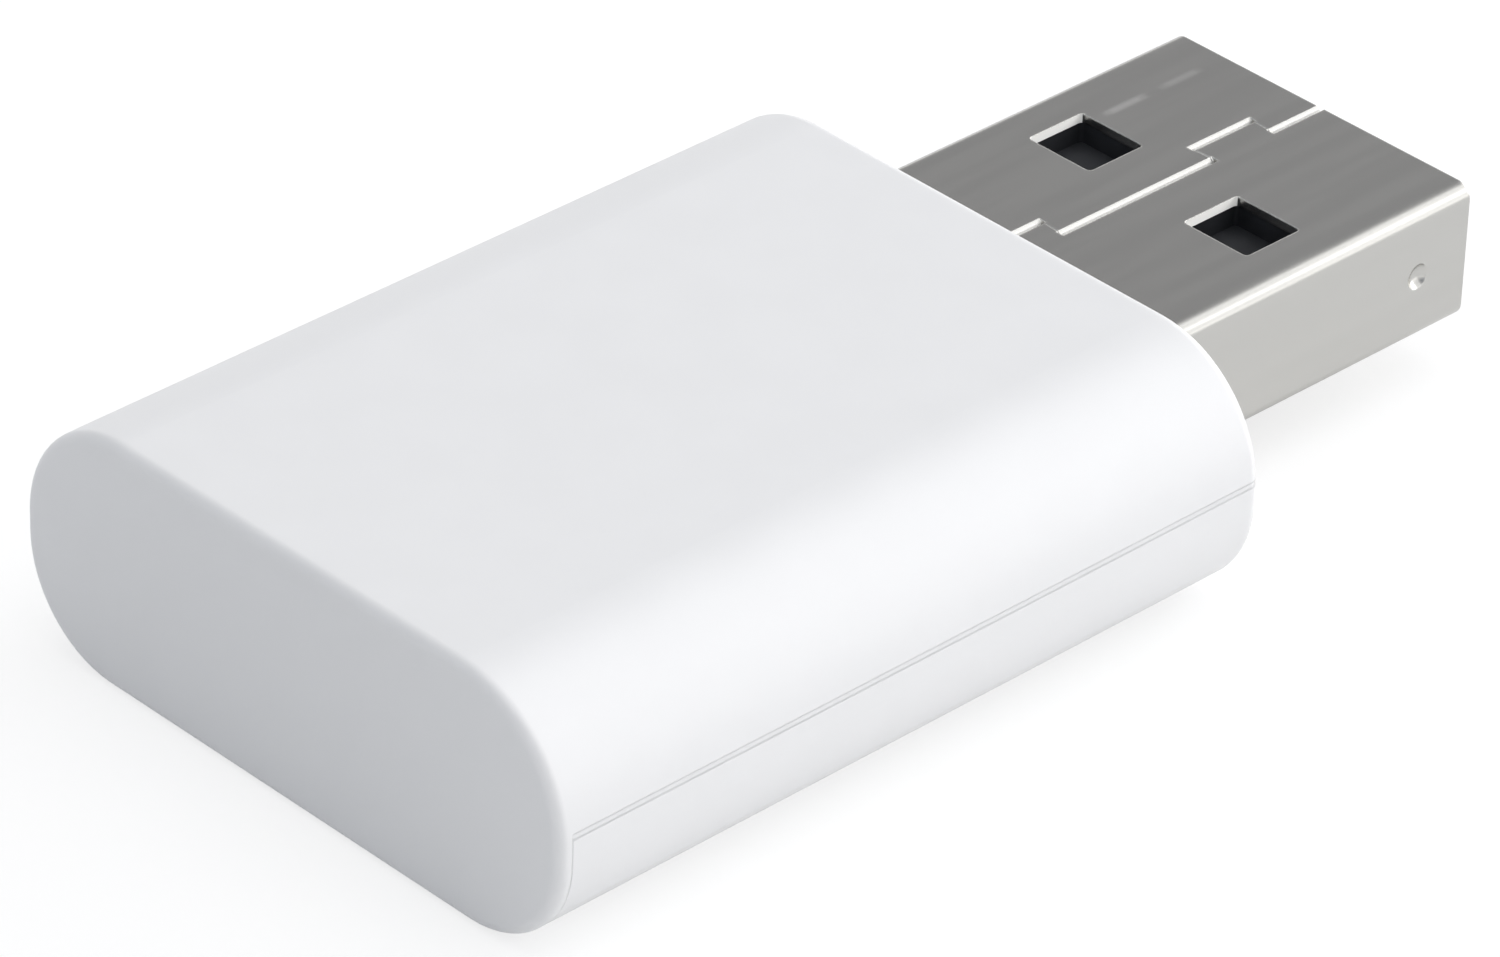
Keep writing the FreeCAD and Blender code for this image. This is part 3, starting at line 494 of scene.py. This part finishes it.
# The boards: the thickness of a layer, what a track does to the mask's colour (factor and lift),
# and where a face counts as level
LAMINATE_LAYER = 0.09
OVER_TRACK = (2.2, 0.01)
LEVEL_TURN = (0.4, 0.6)

# How rough each soldered part and its board are, and half the passage from a part's base to its top
LAMINATE_ROUGHNESS, MASK_ROUGHNESS, PAD_ROUGHNESS = 0.75, 0.28, 0.32
CERAMIC_ROUGHNESS, TINNED_END_ROUGHNESS = 0.5, 0.33
PACKAGE_ROUGHNESS = 0.55
SOLDER_ROUGHNESS = (0.18, 0.34)
SPLIT_REACH = 0.01

# How far each surface's relief rises
TRACK_RISE = 0.02
CERAMIC_RISE = 0.004
PACKAGE_RISE = 0.002
SOLDER_RISE = 0.02


def metal_surface(name, base, worn, roughness, lines, line_depth, edge_radius):
    """Rolled or drawn sheet metal with rubbed edges. Lines are (width, run) in millimetres."""
    material, sheet, shader = new_material(name, metallic=1.0)
    place = sheet.position()
    grain = sheet.group("rolled_grain", {"Position": place, "Line": lines[0], "Run": lines[1]})
    edges = sheet.group("worn_edges", {"Position": place, "Radius": edge_radius})
    darker, less, more = METAL_PATCHES
    toned = sheet.blend(grain["Tone"], shaded(base, darker), base)
    grained = sheet.spread(grain["Tone"], roughness - less, roughness + more)
    rubbed = sheet.math("MULTIPLY", edges["Mask"], RUBBED_SHINE)
    scratch = sheet.math("MULTIPLY", grain["Scratch"], SCRATCH_SHARE)
    height = sheet.math("SUBTRACT", grain["Height"], scratch)
    sheet.feed(
        shader,
        base_color=sheet.blend(edges["Mask"], toned, worn),
        roughness=sheet.math("SUBTRACT", grained, rubbed),
        normal=sheet.bump(height, line_depth, edges["Normal"]),
    )
    return material, sheet, shader


def case_finish(look):
    """Satin white plastic with a fine grain and barely visible waves."""
    material, sheet, shader = new_material("case_white")
    place = sheet.position()
    grain = sheet.group(
        "moulded_grain", {"Position": place, "Grain": look.grain / MM, "Wave": 6.0}
    )
    edges = sheet.group("worn_edges", {"Position": place, "Radius": look.edge_radius})
    waves = sheet.bump(grain["Wave height"], look.sink, edges["Normal"])
    paler, less, more = CASE_PATCHES
    sheet.feed(
        shader,
        base_color=sheet.blend(grain["Tone"], look.white, shaded(look.white, paler)),
        roughness=sheet.spread(grain["Tone"], look.roughness - less, look.roughness + more),
        normal=sheet.bump(grain["Height"], look.grain_depth, waves),
    )
    return material


def plug_finish(look):
    """Nickel-plated sheet whose cut edges are paler and rougher than its rolled faces, with painted
    reflection streaks.
    """
    material, sheet, shader = metal_surface(
        "plug_nickel",
        look.steel,
        # Edges paler partly from wear and partly as a painted highlight
        worn=shaded(look.steel, PLUG_WEAR_AND_HIGHLIGHT),
        roughness=look.roughness,
        lines=(look.line_width / MM, 4.0),
        line_depth=look.line_depth,
        edge_radius=look.edge_radius,
    )
    rolled, smooth, flat = (
        shader.inputs[name].links[0].from_socket for name in ("Base Color", "Roughness", "Normal")
    )
    position = sheet.position()
    low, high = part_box("plug_shell")
    wall = (high.y - low.y) / 2 / MM - BEND_ZONE
    off_middle = sheet.math("ABSOLUTE", sheet.axes(position)["Y"])
    inside_wall = sheet.math("LESS_THAN", off_middle, wall)
    sideways = sheet.math("MULTIPLY", sheet.math("ABSOLUTE", sheet.facing()["Y"]), inside_wall)
    torn = sheet.ramp(sideways, *SIDEWAYS_TURN)
    # Painted reflections: pale streaks blended into the sheet's colour along its top
    for from_tip, half_length, strength in REFLECTION_STREAKS:
        streak_glint = sheet.group(
            "rub_mark",
            {
                "Position": position,
                "Centre": (high.x / MM - from_tip, REFLECTION_STREAK_Y, high.z / MM),
                "Half length": half_length,
                "Half width": REFLECTION_STREAK_HALF_WIDTH,
            },
        )
        faint = sheet.math("MULTIPLY", streak_glint["Mask"], strength)
        rolled = sheet.blend(faint, rolled, look.sheared_and_glint)
    lift = sheet.add("CombineXYZ", {2: sheet.math("MULTIPLY", torn, SHEARED_LIFT)}).outputs[0]
    sheet.feed(
        shader,
        base_color=sheet.blend(torn, rolled, look.sheared_and_glint),
        roughness=sheet.mix(torn, smooth, SHEARED_ROUGHNESS),
        metallic=sheet.mix(torn, 1.0, SHEARED_METAL),
        normal=sheet.vector("NORMALIZE", sheet.vector("ADD", flat, lift)),
    )
    return material


def moulded_black(name, base, roughness, grain_mm, depth):
    """Black moulded plastic or resin."""
    material, sheet, shader = new_material(name)
    grain = sheet.group("moulded_grain", {"Position": sheet.position(), "Grain": grain_mm})
    paler, less, more = BLACK_PATCHES
    sheet.feed(
        shader,
        base_color=sheet.blend(grain["Tone"], base, shaded(base, paler)),
        roughness=sheet.spread(grain["Tone"], roughness - less, roughness + more),
        normal=sheet.bump(grain["Height"], depth),
    )
    return material


def board_finish(name, look, mask_colour, pads):
    """Solder mask over printed tracks, tinned pads, and bare laminate round the edge."""
    material, sheet, shader = new_material(name)
    place = sheet.position()
    tracks = sheet.group(
        "printed_tracks",
        {"Position": place, "Pitch": look.track_pitch / MM, "Width": look.track / MM},
    )
    bare = tracks["Via"]
    for centre, half_size in pads:
        patch = sheet.group(
            "pad_patch", {"Position": place, "Centre": centre, "Half size": half_size}
        )
        bare = sheet.math("MAXIMUM", bare, patch["Mask"])
    face = sheet.ramp(sheet.math("ABSOLUTE", sheet.facing()["Z"]), *LEVEL_TURN)
    bare = sheet.math("MULTIPLY", bare, face)
    factor, lift = OVER_TRACK
    over_track = tuple(min(1.0, c * factor + lift) for c in mask_colour)
    masked = sheet.blend(tracks["Mask"], mask_colour, over_track)
    layers = sheet.math("PINGPONG", sheet.axes(place)["Z"], LAMINATE_LAYER)
    in_layer = sheet.ramp(layers, 0.0, LAMINATE_LAYER)
    fibres = sheet.blend(in_layer, look.laminate, shaded(look.laminate, LAMINATE_DARK))
    body = sheet.blend(face, fibres, masked)
    body_rough = sheet.spread(face, LAMINATE_ROUGHNESS, MASK_ROUGHNESS)
    pad_rough = sheet.math("MULTIPLY", bare, PAD_ROUGHNESS)
    height = sheet.math("MULTIPLY", sheet.math("MAXIMUM", tracks["Mask"], bare), face)
    sheet.feed(
        shader,
        base_color=sheet.blend(bare, body, look.tin),
        metallic=bare,
        roughness=sheet.math("MAXIMUM", body_rough, pad_rough),
        normal=sheet.bump(height, TRACK_RISE * MM),
    )
    return material


def tinned_part(node_name, look, body_colour, band):
    """A small ceramic part with tinned ends along X."""
    material, sheet, shader = new_material(node_name + "_finish")
    place = sheet.position()
    low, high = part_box(node_name)
    middle, half = (low.x + high.x) / 2 / MM, (high.x - low.x) / 2 / MM
    ends = sheet.group(
        "tinned_ends", {"Position": place, "Middle": middle, "Half length": half, "Band": band}
    )
    grain = sheet.group("moulded_grain", {"Position": place, "Grain": 0.06, "Wave": 0.8})
    fired = sheet.blend(grain["Tone"], shaded(body_colour, CERAMIC_DARK), body_colour)
    sheet.feed(
        shader,
        base_color=sheet.blend(ends["Mask"], fired, look.tin),
        metallic=ends["Mask"],
        roughness=sheet.spread(ends["Mask"], CERAMIC_ROUGHNESS, TINNED_END_ROUGHNESS),
        normal=sheet.bump(grain["Height"], CERAMIC_RISE * MM),
    )
    return material


def two_layer_part(name, node_name, top_colour, base_colour, split, top_metal, roughness):
    """A part whose top differs from its base, such as a crystal's lid or a light's lens."""
    material, sheet, shader = new_material(name)
    place = sheet.position()
    low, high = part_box(node_name)
    split_z = (low.z + (high.z - low.z) * split) / MM
    top = sheet.ramp(sheet.axes(place)["Z"], split_z - SPLIT_REACH, split_z + SPLIT_REACH)
    grain = sheet.group("moulded_grain", {"Position": place, "Grain": 0.08, "Wave": 1.0})
    lid = sheet.blend(grain["Tone"], shaded(top_colour, LID_DARK), top_colour)
    sheet.feed(
        shader,
        base_color=sheet.blend(top, base_colour, lid),
        metallic=sheet.math("MULTIPLY", top, top_metal),
        roughness=sheet.spread(top, PACKAGE_ROUGHNESS, roughness),
        normal=sheet.bump(grain["Height"], PACKAGE_RISE * MM),
    )
    return material


def solder_finish(look):
    """Bright solder, a little duller in patches."""
    material, sheet, shader = new_material("bright_solder", metallic=1.0)
    grain = sheet.group(
        "moulded_grain", {"Position": sheet.position(), "Grain": 0.09, "Wave": 0.7}
    )
    sheet.feed(
        shader,
        base_color=sheet.blend(grain["Tone"], shaded(look.tin, SOLDER_DARK), look.tin),
        roughness=sheet.spread(grain["Tone"], *SOLDER_ROUGHNESS),
        normal=sheet.bump(grain["Wave height"], SOLDER_RISE * MM),
    )
    return material


# ------------------------------------------------------------------ places


def ends_along_x(low, high):
    """The two end faces of a box: (foot, outward, width, height) of each."""
    middle_y = (low.y + high.y) / 2
    return [
        (Vector((x, middle_y, low.z)), (side, 0, 0), high.y - low.y, high.z - low.z)
        for x, side in ((low.x, -1), (high.x, 1))
    ]


def islands(node_name):
    """Boxes of the separate solids of one node, found from its connected faces."""
    mesh = bmesh.new()
    mesh.from_mesh(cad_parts[node_name].data)
    bmesh.ops.remove_doubles(mesh, verts=mesh.verts, dist=0.001 * MM)
    left = set(mesh.verts)
    boxes = []
    while left:
        queue = [left.pop()]
        found = list(queue)
        while queue:
            joined = [v for edge in queue.pop().link_edges for v in edge.verts if v in left]
            left.difference_update(joined)
            queue += joined
            found += joined
        corners = [Vector([pick(v.co[i] for v in found) for i in range(3)]) for pick in (min, max)]
        boxes.append(corners)
    mesh.free()
    return sorted(boxes, key=lambda b: tuple(b[0]))


# The solder notches of the radio module, and the legs and sheet of the plug, as the CAD source
# has them
NOTCH_COUNT = 5
NOTCH_PITCH = 1.7
NOTCH_FROM_FRONT = 0.9
LEG_WIDTH = 1.2
SHEET = 0.3


def notch_places():
    """The middle of each solder notch, with the side that it faces."""
    low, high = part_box("module_board")
    places = []
    for side, y in ((-1, low.y), (1, high.y)):
        for i in range(NOTCH_COUNT):
            x = high.x - (NOTCH_FROM_FRONT + i * NOTCH_PITCH) * MM
            places.append((Vector((x, y, low.z)), side))
    return places


def leg_places():
    """The middle of each of the plug's two solder legs where it leaves the board's underside."""
    low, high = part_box("plug_shell")
    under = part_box("circuit_board")[0].z
    half_sheet = SHEET * MM / 2
    return [
        Vector((low.x + LEG_WIDTH * MM / 2, y, under))
        for y in (low.y + half_sheet, high.y - half_sheet)
    ]


# -------------------------------------------------------------------- pads

# Half sizes along X and Y, and how far each pad's middle lies from the place that it serves
NOTCH_PAD, NOTCH_PAD_OUT = (0.36, 0.42), 0.15
MODULE_PAD, MODULE_PAD_IN = (0.38, 0.4), 0.2
LEAD_PAD = (0.32, 0.5)
TAIL_PAD, TAIL_PAD_IN = (0.95, 0.62), 0.6
CHIP_PAD_HALF_LENGTH, CHIP_PAD_OUT, CHIP_PAD_MARGIN = 0.42, 0.05, 0.05
LEG_PAD_MARGIN = 0.55


def pad(centre, half_x, half_y):
    """A pad as (centre, half size) in millimetres."""
    return (tuple(c / MM for c in centre), (half_x, half_y, 1.0))


def main_board_pads():
    """Pads on the main board under everything that is soldered to it."""
    pads = [
        pad(place + Vector((0, side * NOTCH_PAD_OUT * MM, 0)), *NOTCH_PAD)
        for place, side in notch_places()
    ]
    for place in leg_places():
        pads.append(pad(place, LEG_WIDTH / 2 + LEG_PAD_MARGIN, SHEET / 2 + LEG_PAD_MARGIN))
    for name in END_SOLDERED:
        for foot, outward, width, _ in ends_along_x(*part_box(name)):
            centre = foot + Vector(outward) * CHIP_PAD_OUT * MM
            pads.append(pad(centre, CHIP_PAD_HALF_LENGTH, width / MM / 2 + CHIP_PAD_MARGIN))
    for low, high in islands("regulator_leads"):
        pads.append(pad((low + high) / 2, *LEAD_PAD))
    for name in CONTACTS:
        low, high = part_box(name)
        centre = Vector((low.x + TAIL_PAD_IN * MM, (low.y + high.y) / 2, low.z))
        pads.append(pad(centre, *TAIL_PAD))
    return pads


def module_pads():
    """Pads on the radio module, one at each notch."""
    return [
        pad(place - Vector((0, side * MODULE_PAD_IN * MM, 0)), *MODULE_PAD)
        for place, side in notch_places()
    ]


# ----------------------------------------------------------- solder joints

# Width, height and spread of each kind of fillet
FILLETS = {
    "notch": (0.46, 0.62, 0.6),
    "lead": (0.38, 0.12, 0.2),
    "tail_end": (0.95, 0.2, 0.32),
    "tail_side": (1.1, 0.18, 0.14),
    "can_end": (6.0, 0.22, 0.22),
    "can_side": (5.0, 0.22, 0.3),
    "leg_face": (LEG_WIDTH, 0.5, 0.42),
    "leg_edge": (SHEET, 0.5, 0.4),
}
NOTCH_FILLET_IN = 0.16
TAIL_SIDE_IN = 0.65

# The fillets at a small part's ends are a share of its width and of its height
CHIP_FILLET_WIDTH, CHIP_FILLET_RISE, CHIP_FILLET_MOST, CHIP_FILLET_SPREAD = 0.94, 0.6, 0.4, 0.3
DECOUPLER_FILLET_WIDTH, DECOUPLER_FILLET_HEIGHT, DECOUPLER_FILLET_SPREAD = 0.9, 0.26, 0.2

FILLET_SECTIONS = 8
FILLET_STEPS = 6
FILLET_END_SHARE = 0.12


def add_fillet(mesh, foot, outward, size, up=1):
    """A closed fillet on a flat pad, against an upright face that it wets, rounded at both ends.

    Size is (width, height, spread) in millimetres. Up is -1 where it hangs under a board.
    """
    width, height, spread = (s * MM for s in size)
    outward = Vector(outward).normalized()
    along = Vector((0, 0, 1)).cross(outward)
    turns = [math.pi / 2 * i / FILLET_STEPS for i in range(FILLET_STEPS + 1)]
    hollow = [
        outward * spread * (1 - math.sin(t)) + Vector((0, 0, up * height * (1 - math.cos(t))))
        for t in turns
    ]
    rings = []
    for i in range(FILLET_SECTIONS + 1):
        step = -1 + 2 * i / FILLET_SECTIONS
        swell = max(FILLET_END_SHARE, math.sqrt(max(0.0, 1 - abs(step) ** 3)))
        start = Vector(foot) + along * (step * width / 2)
        ring = [start] + [start + point * swell for point in hollow]
        rings.append([mesh.verts.new(p) for p in ring])
    for first, second in zip(rings, rings[1:]):
        for i in range(len(first)):
            j = (i + 1) % len(first)
            mesh.faces.new((first[i], first[j], second[j], second[i]))
    mesh.faces.new(rings[0][::-1])
    mesh.faces.new(rings[-1])


def upper_joints():
    """Every fillet that stands on a board: (foot, outward, size)."""
    joints = [
        (place - Vector((0, side * NOTCH_FILLET_IN * MM, 0)), (0, side, 0), FILLETS["notch"])
        for place, side in notch_places()
    ]
    for name in END_SOLDERED:
        for foot, outward, width, height in ends_along_x(*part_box(name)):
            rise = min(height / MM * CHIP_FILLET_RISE, CHIP_FILLET_MOST)
            size = (width / MM * CHIP_FILLET_WIDTH, rise, CHIP_FILLET_SPREAD)
            joints.append((foot, outward, size))
    for low, high in islands("decoupling_capacitors"):
        for foot, outward, width, _ in ends_along_x(low, high):
            wetted = width / MM * DECOUPLER_FILLET_WIDTH
            size = (wetted, DECOUPLER_FILLET_HEIGHT, DECOUPLER_FILLET_SPREAD)
            joints.append((foot, outward, size))
    middle = sum(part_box("voltage_regulator"), Vector()) / 2
    for low, high in islands("regulator_leads"):
        side = math.copysign(1, low.y - middle.y)
        y = high.y if side > 0 else low.y
        joints.append((((low.x + high.x) / 2, y, low.z), (0, side, 0), FILLETS["lead"]))
    board_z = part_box("circuit_board")[1].z
    for name in CONTACTS:
        low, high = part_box(name)
        end = (low.x, (low.y + high.y) / 2, board_z)
        joints.append((end, (-1, 0, 0), FILLETS["tail_end"]))
        for y, side in ((low.y, -1), (high.y, 1)):
            foot = (low.x + TAIL_SIDE_IN * MM, y, board_z)
            joints.append((foot, (0, side, 0), FILLETS["tail_side"]))
    low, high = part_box("shield_can")
    centre = (low + high) / 2
    for x, side in ((low.x, -1), (high.x, 1)):
        joints.append(((x, centre.y, low.z), (side, 0, 0), FILLETS["can_end"]))
    for y, side in ((low.y, -1), (high.y, 1)):
        joints.append(((centre.x, y, low.z), (0, side, 0), FILLETS["can_side"]))
    return joints


def lower_joints():
    """Every fillet that hangs under the main board, round the plug's legs."""
    joints = []
    for foot in leg_places():
        for side in (-1, 1):
            face = foot + Vector((0, side * SHEET * MM / 2, 0))
            joints.append((face, (0, side, 0), FILLETS["leg_face"]))
            edge = foot + Vector((side * LEG_WIDTH * MM / 2, 0, 0))
            joints.append((edge, (side, 0, 0), FILLETS["leg_edge"]))
    return joints


# ------------------------------------------------------------------ studio

# Where the studio's wall turns into its shade side, its horizon and its ceiling, as shares of a
# whole direction along X or Z
SHADE_REACH = (-0.75, 0.15)
HORIZON_REACH = (0.10, 0.30)
CEILING_REACH = (0.70, 0.95)

# The paper, in metres, and how bright it shows to the camera and in a surface that mirrors it
PAPER_RADIUS = 4.0
PAPER_SEGMENTS = 96
PAPER_DROP = 0.01 * MM
PAPER_WHITE_FROM = (0.05, 0.16)
PAPER_SEEN = 1.02
PAPER_MIRRORED = 0.92

# Soft boxes: name, the setting of its power, then its sides, its direction and its distance from
# the part in metres
SOFT_BOXES = (
    ("key_box", "key", (0.90, 0.66), (0.57, -0.62, 0.40), 0.6),
    ("top_box", "top", (0.80, 0.80), (0.1, -0.1, 1.0), 0.7),
    ("rim_box", "rim", (0.70, 0.45), (0.93, -0.15, 0.30), 0.6),
    ("fill_box", "fill", (0.40, 0.30), (-0.35, -0.90, 0.20), 0.6),
)
SENSOR_WIDTH = 36.0


def studio_world(look):
    """White near the floor, mid grey where the steel looks, and a paler ceiling."""
    world = bpy.data.worlds.new("studio")
    sheet = empty_sheet(world)
    x, _, z = sheet.axes(sheet.add("TexCoord").outputs["Generated"])
    side = sheet.blend(sheet.ramp(x, *SHADE_REACH), look.shade, look.wall)
    low = sheet.blend(sheet.ramp(z, *HORIZON_REACH), look.horizon, side)
    whole = sheet.blend(sheet.ramp(z, *CEILING_REACH), low, look.ceiling)
    background = sheet.add("Background", {"Color": whole, "Strength": 1.0})
    sheet.add("OutputWorld", {"Surface": background.outputs[0]})
    bpy.context.scene.world = world


def studio_floor(look):
    """White paper that keeps the part's soft shadow and stays white everywhere else."""
    disc = bmesh.new()
    bmesh.ops.create_circle(disc, cap_ends=True, segments=PAPER_SEGMENTS, radius=PAPER_RADIUS)
    floor = place_in_scene("studio_floor", mesh_from("studio_floor", disc))
    floor.location.z = -PAPER_DROP
    material = bpy.data.materials.new("white_paper")
    sheet = empty_sheet(material)
    path = sheet.add("LightPath").outputs
    seen = sheet.math("MAXIMUM", path["Is Camera Ray"], path["Is Glossy Ray"])
    seen = sheet.math("MAXIMUM", seen, path["Is Transmission Ray"])
    paper = sheet.add("BsdfDiffuse", {"Color": rgba(look.floor)}).outputs[0]
    near = []
    for lit_share, brightness in (
        (look.floor_shadow, PAPER_SEEN),
        (look.mirrored_shadow, PAPER_MIRRORED),
    ):
        lit = sheet.add("BsdfDiffuse", {"Color": rgba((lit_share,) * 3)}).outputs[0]
        own_light = brightness - lit_share * look.floor_light
        glow = sheet.add("Emission", {"Strength": own_light}).outputs[0]
        near.append(sheet.add("AddShader", {0: lit, 1: glow}).outputs[0])
    near = sheet.add("MixShader", {0: path["Is Glossy Ray"], 1: near[0], 2: near[1]}).outputs[0]
    far = sheet.add("Emission", {"Strength": 1.0}).outputs[0]
    from_part = sheet.vector("LENGTH", sheet.add("TexCoord").outputs["Object"])
    away = sheet.ramp(from_part, *PAPER_WHITE_FROM)
    shown = sheet.add("MixShader", {0: away, 1: near, 2: far}).outputs[0]
    surface = sheet.add("MixShader", {0: seen, 1: paper, 2: shown}).outputs[0]
    sheet.add("OutputMaterial", {"Surface": surface})
    floor.data.materials.append(material)


def soft_box(name, power, size, direction, distance):
    """A rectangular lamp that faces the middle of the part."""
    lamp = bpy.data.lights.new(name, "AREA")
    lamp.shape = "RECTANGLE"
    lamp.size, lamp.size_y = size
    lamp.energy = power
    holder = place_in_scene(name, lamp)
    direction = Vector(direction).normalized()
    holder.location = direction * distance
    holder.rotation_euler = direction.to_track_quat("Z", "Y").to_euler()
    holder.visible_camera = False


def studio_camera(look):
    """The camera at the photograph's angle: back is the way from the target to the camera."""
    a, e, r = look.azimuth, look.elevation, look.roll
    back = Vector((math.sin(a) * math.cos(e), -math.cos(a) * math.cos(e), math.sin(e)))
    level_right = Vector((math.cos(a), math.sin(a), 0))
    level_up = back.cross(level_right)
    right = level_right * math.cos(r) + level_up * math.sin(r)
    up = level_up * math.cos(r) - level_right * math.sin(r)
    place = Matrix.Translation(Vector(look.target) + back * look.distance)
    data = bpy.data.cameras.new("studio_camera")
    data.sensor_width = SENSOR_WIDTH
    data.lens = look.lens
    data.clip_start, data.clip_end = 0.01, 20.0
    camera = place_in_scene("studio_camera", data)
    camera.matrix_world = place @ Matrix((right, up, back)).transposed().to_4x4()
    bpy.context.scene.camera = camera


# --------------------------------------------------------------- operators


class REPEATER_OT_effects(bpy.types.Operator):
    """Makes the node groups that several finishes share"""

    bl_idname = "repeater.effects"
    bl_label = "Shared effects"

    def execute(self, context):
        make_moulded_grain()
        make_rolled_grain()
        make_worn_edges()
        make_tinned_ends()
        make_printed_tracks()
        make_reflection_streak()
        make_pad_patch()
        return {"FINISHED"}


class REPEATER_OT_case(bpy.types.Operator):
    """Gives both halves of the case their satin white plastic"""

    bl_idname = "repeater.case"
    bl_label = "Case"

    def execute(self, context):
        white = case_finish(context.scene.repeater_case)
        for name in ("upper_shell", "lower_shell"):
            wear_material(name, white)
        return {"FINISHED"}


class REPEATER_OT_plug(bpy.types.Operator):
    """Gives the plug its nickel-plated shell, black insulator and gold contacts"""

    bl_idname = "repeater.plug"
    bl_label = "Plug"

    def execute(self, context):
        look = context.scene.repeater_plug
        wear_material("plug_shell", plug_finish(look))
        black = moulded_black(
            "insulator_black", look.black, roughness=0.5, grain_mm=0.07, depth=0.001 * MM
        )
        wear_material("plug_insulator", black)
        gold, _, _ = metal_surface(
            "contact_gold_plate",
            look.gold,
            worn=(0.88, 0.68, 0.36),
            roughness=0.22,
            lines=(0.04, 2.0),
            line_depth=0.0005 * MM,
            edge_radius=0.03 * MM,
        )
        for name in CONTACTS:
            wear_material(name, gold)
        return {"FINISHED"}


class REPEATER_OT_boards(bpy.types.Operator):
    """Gives the two boards their solder mask, tracks and pads, and the antenna its copper"""

    bl_idname = "repeater.boards"
    bl_label = "Boards and antenna"

    def execute(self, context):
        look = context.scene.repeater_board
        main_mask = board_finish("main_board_mask", look, look.green, main_board_pads())
        wear_material("circuit_board", main_mask)
        wear_material("module_board", board_finish("module_mask", look, look.blue, module_pads()))
        copper, _, _ = metal_surface(
            "antenna_copper",
            look.copper,
            worn=(0.82, 0.56, 0.40),
            roughness=0.38,
            lines=(0.06, 0.4),
            line_depth=0.002 * MM,
            edge_radius=0.02 * MM,
        )
        wear_material("antenna_trace", copper)
        return {"FINISHED"}


class REPEATER_OT_components(bpy.types.Operator):
    """Gives the shield, the chips and the small soldered parts their finishes"""

    bl_idname = "repeater.components"
    bl_label = "Soldered parts"

    def execute(self, context):
        look = context.scene.repeater_board
        tin, _, _ = metal_surface(
            "tinned_sheet",
            look.tin,
            worn=(0.82, 0.82, 0.80),
            roughness=0.34,
            lines=(0.05, 2.5),
            line_depth=0.0008 * MM,
            edge_radius=0.05 * MM,
        )
        resin = moulded_black(
            "chip_black", look.resin, roughness=0.55, grain_mm=0.05, depth=0.0015 * MM
        )
        lid = two_layer_part(
            "crystal_lid",
            "radio_crystal",
            top_colour=(0.72, 0.71, 0.68),
            base_colour=(0.16, 0.14, 0.12),
            split=0.55,
            top_metal=1.0,
            roughness=0.3,
        )
        lens = two_layer_part(
            "light_lens",
            "status_led",
            top_colour=look.lens,
            base_colour=(0.78, 0.78, 0.75),
            split=0.5,
            top_metal=0.0,
            roughness=0.12,
        )
        for name, finish in (
            ("shield_can", tin),
            ("regulator_leads", tin),
            ("radio_chip", resin),
            ("voltage_regulator", resin),
            ("radio_crystal", lid),
            ("status_led", lens),
        ):
            wear_material(name, finish)
        for name, body, band in (
            ("input_capacitor", look.ceramic, 0.42),
            ("output_capacitor", look.ceramic, 0.42),
            ("decoupling_capacitors", look.ceramic, 0.24),
            ("led_resistor", (0.022, 0.022, 0.026), 0.3),
        ):
            wear_material(name, tinned_part(name, look, body, band))
        return {"FINISHED"}


class REPEATER_OT_solder(bpy.types.Operator):
    """Builds the solder fillets at every leg, foot, notch and end cap"""

    bl_idname = "repeater.solder"
    bl_label = "Solder joints"

    def execute(self, context):
        mesh = bmesh.new()
        for joints, up in ((upper_joints(), 1), (lower_joints(), -1)):
            for foot, outward, size in joints:
                add_fillet(mesh, foot, outward, size, up)
        bmesh.ops.recalc_face_normals(mesh, faces=mesh.faces)
        data = mesh_from("solder_joints", mesh)
        data.shade_smooth()
        data.materials.append(solder_finish(context.scene.repeater_board))
        solder = place_in_scene("solder_joints", data)
        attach(solder, "root")
        return {"FINISHED"}


class REPEATER_OT_stage(bpy.types.Operator):
    """Sets up the white floor, the soft lights and the camera"""

    bl_idname = "repeater.stage"
    bl_label = "Studio"

    def execute(self, context):
        look = context.scene.repeater_studio
        context.scene.view_settings.view_transform = "Standard"
        studio_world(look)
        studio_floor(look)
        for name, power, size, direction, distance in SOFT_BOXES:
            soft_box(name, getattr(look, power), size, direction, distance)
        studio_camera(look)
        return {"FINISHED"}


SETTINGS = {
    "repeater_case": CaseSettings,
    "repeater_plug": PlugSettings,
    "repeater_board": BoardSettings,
    "repeater_studio": StudioSettings,
}
STEPS = (
    REPEATER_OT_effects,
    REPEATER_OT_case,
    REPEATER_OT_plug,
    REPEATER_OT_boards,
    REPEATER_OT_components,
    REPEATER_OT_solder,
    REPEATER_OT_stage,
)


class REPEATER_PT_sidebar(bpy.types.Panel):
    """Lists the steps and their settings"""

    bl_idname = "REPEATER_PT_sidebar"
    bl_label = "Signal repeater"
    bl_space_type = "VIEW_3D"
    bl_region_type = "UI"
    bl_category = "Repeater"

    def draw(self, context):
        for step in STEPS:
            self.layout.operator(step.bl_idname)
        for name in SETTINGS:
            box = self.layout.box()
            settings = getattr(context.scene, name)
            for field in settings.bl_rna.properties:
                if not field.is_readonly and field.identifier != "name":
                    box.prop(settings, field.identifier)


def register():
    for name, group in SETTINGS.items():
        bpy.utils.register_class(group)
        setattr(bpy.types.Scene, name, PointerProperty(type=group))
    for step in STEPS:
        bpy.utils.register_class(step)
    bpy.utils.register_class(REPEATER_PT_sidebar)


def unregister():
    bpy.utils.unregister_class(REPEATER_PT_sidebar)
    for step in reversed(STEPS):
        bpy.utils.unregister_class(step)
    for name, group in SETTINGS.items():
        delattr(bpy.types.Scene, name)
        bpy.utils.unregister_class(group)


def main():
    register()
    for step in STEPS:
        area, call = step.bl_idname.split(".")
        getattr(getattr(bpy.ops, area), call)()


if __name__ == "__main__":
    main()
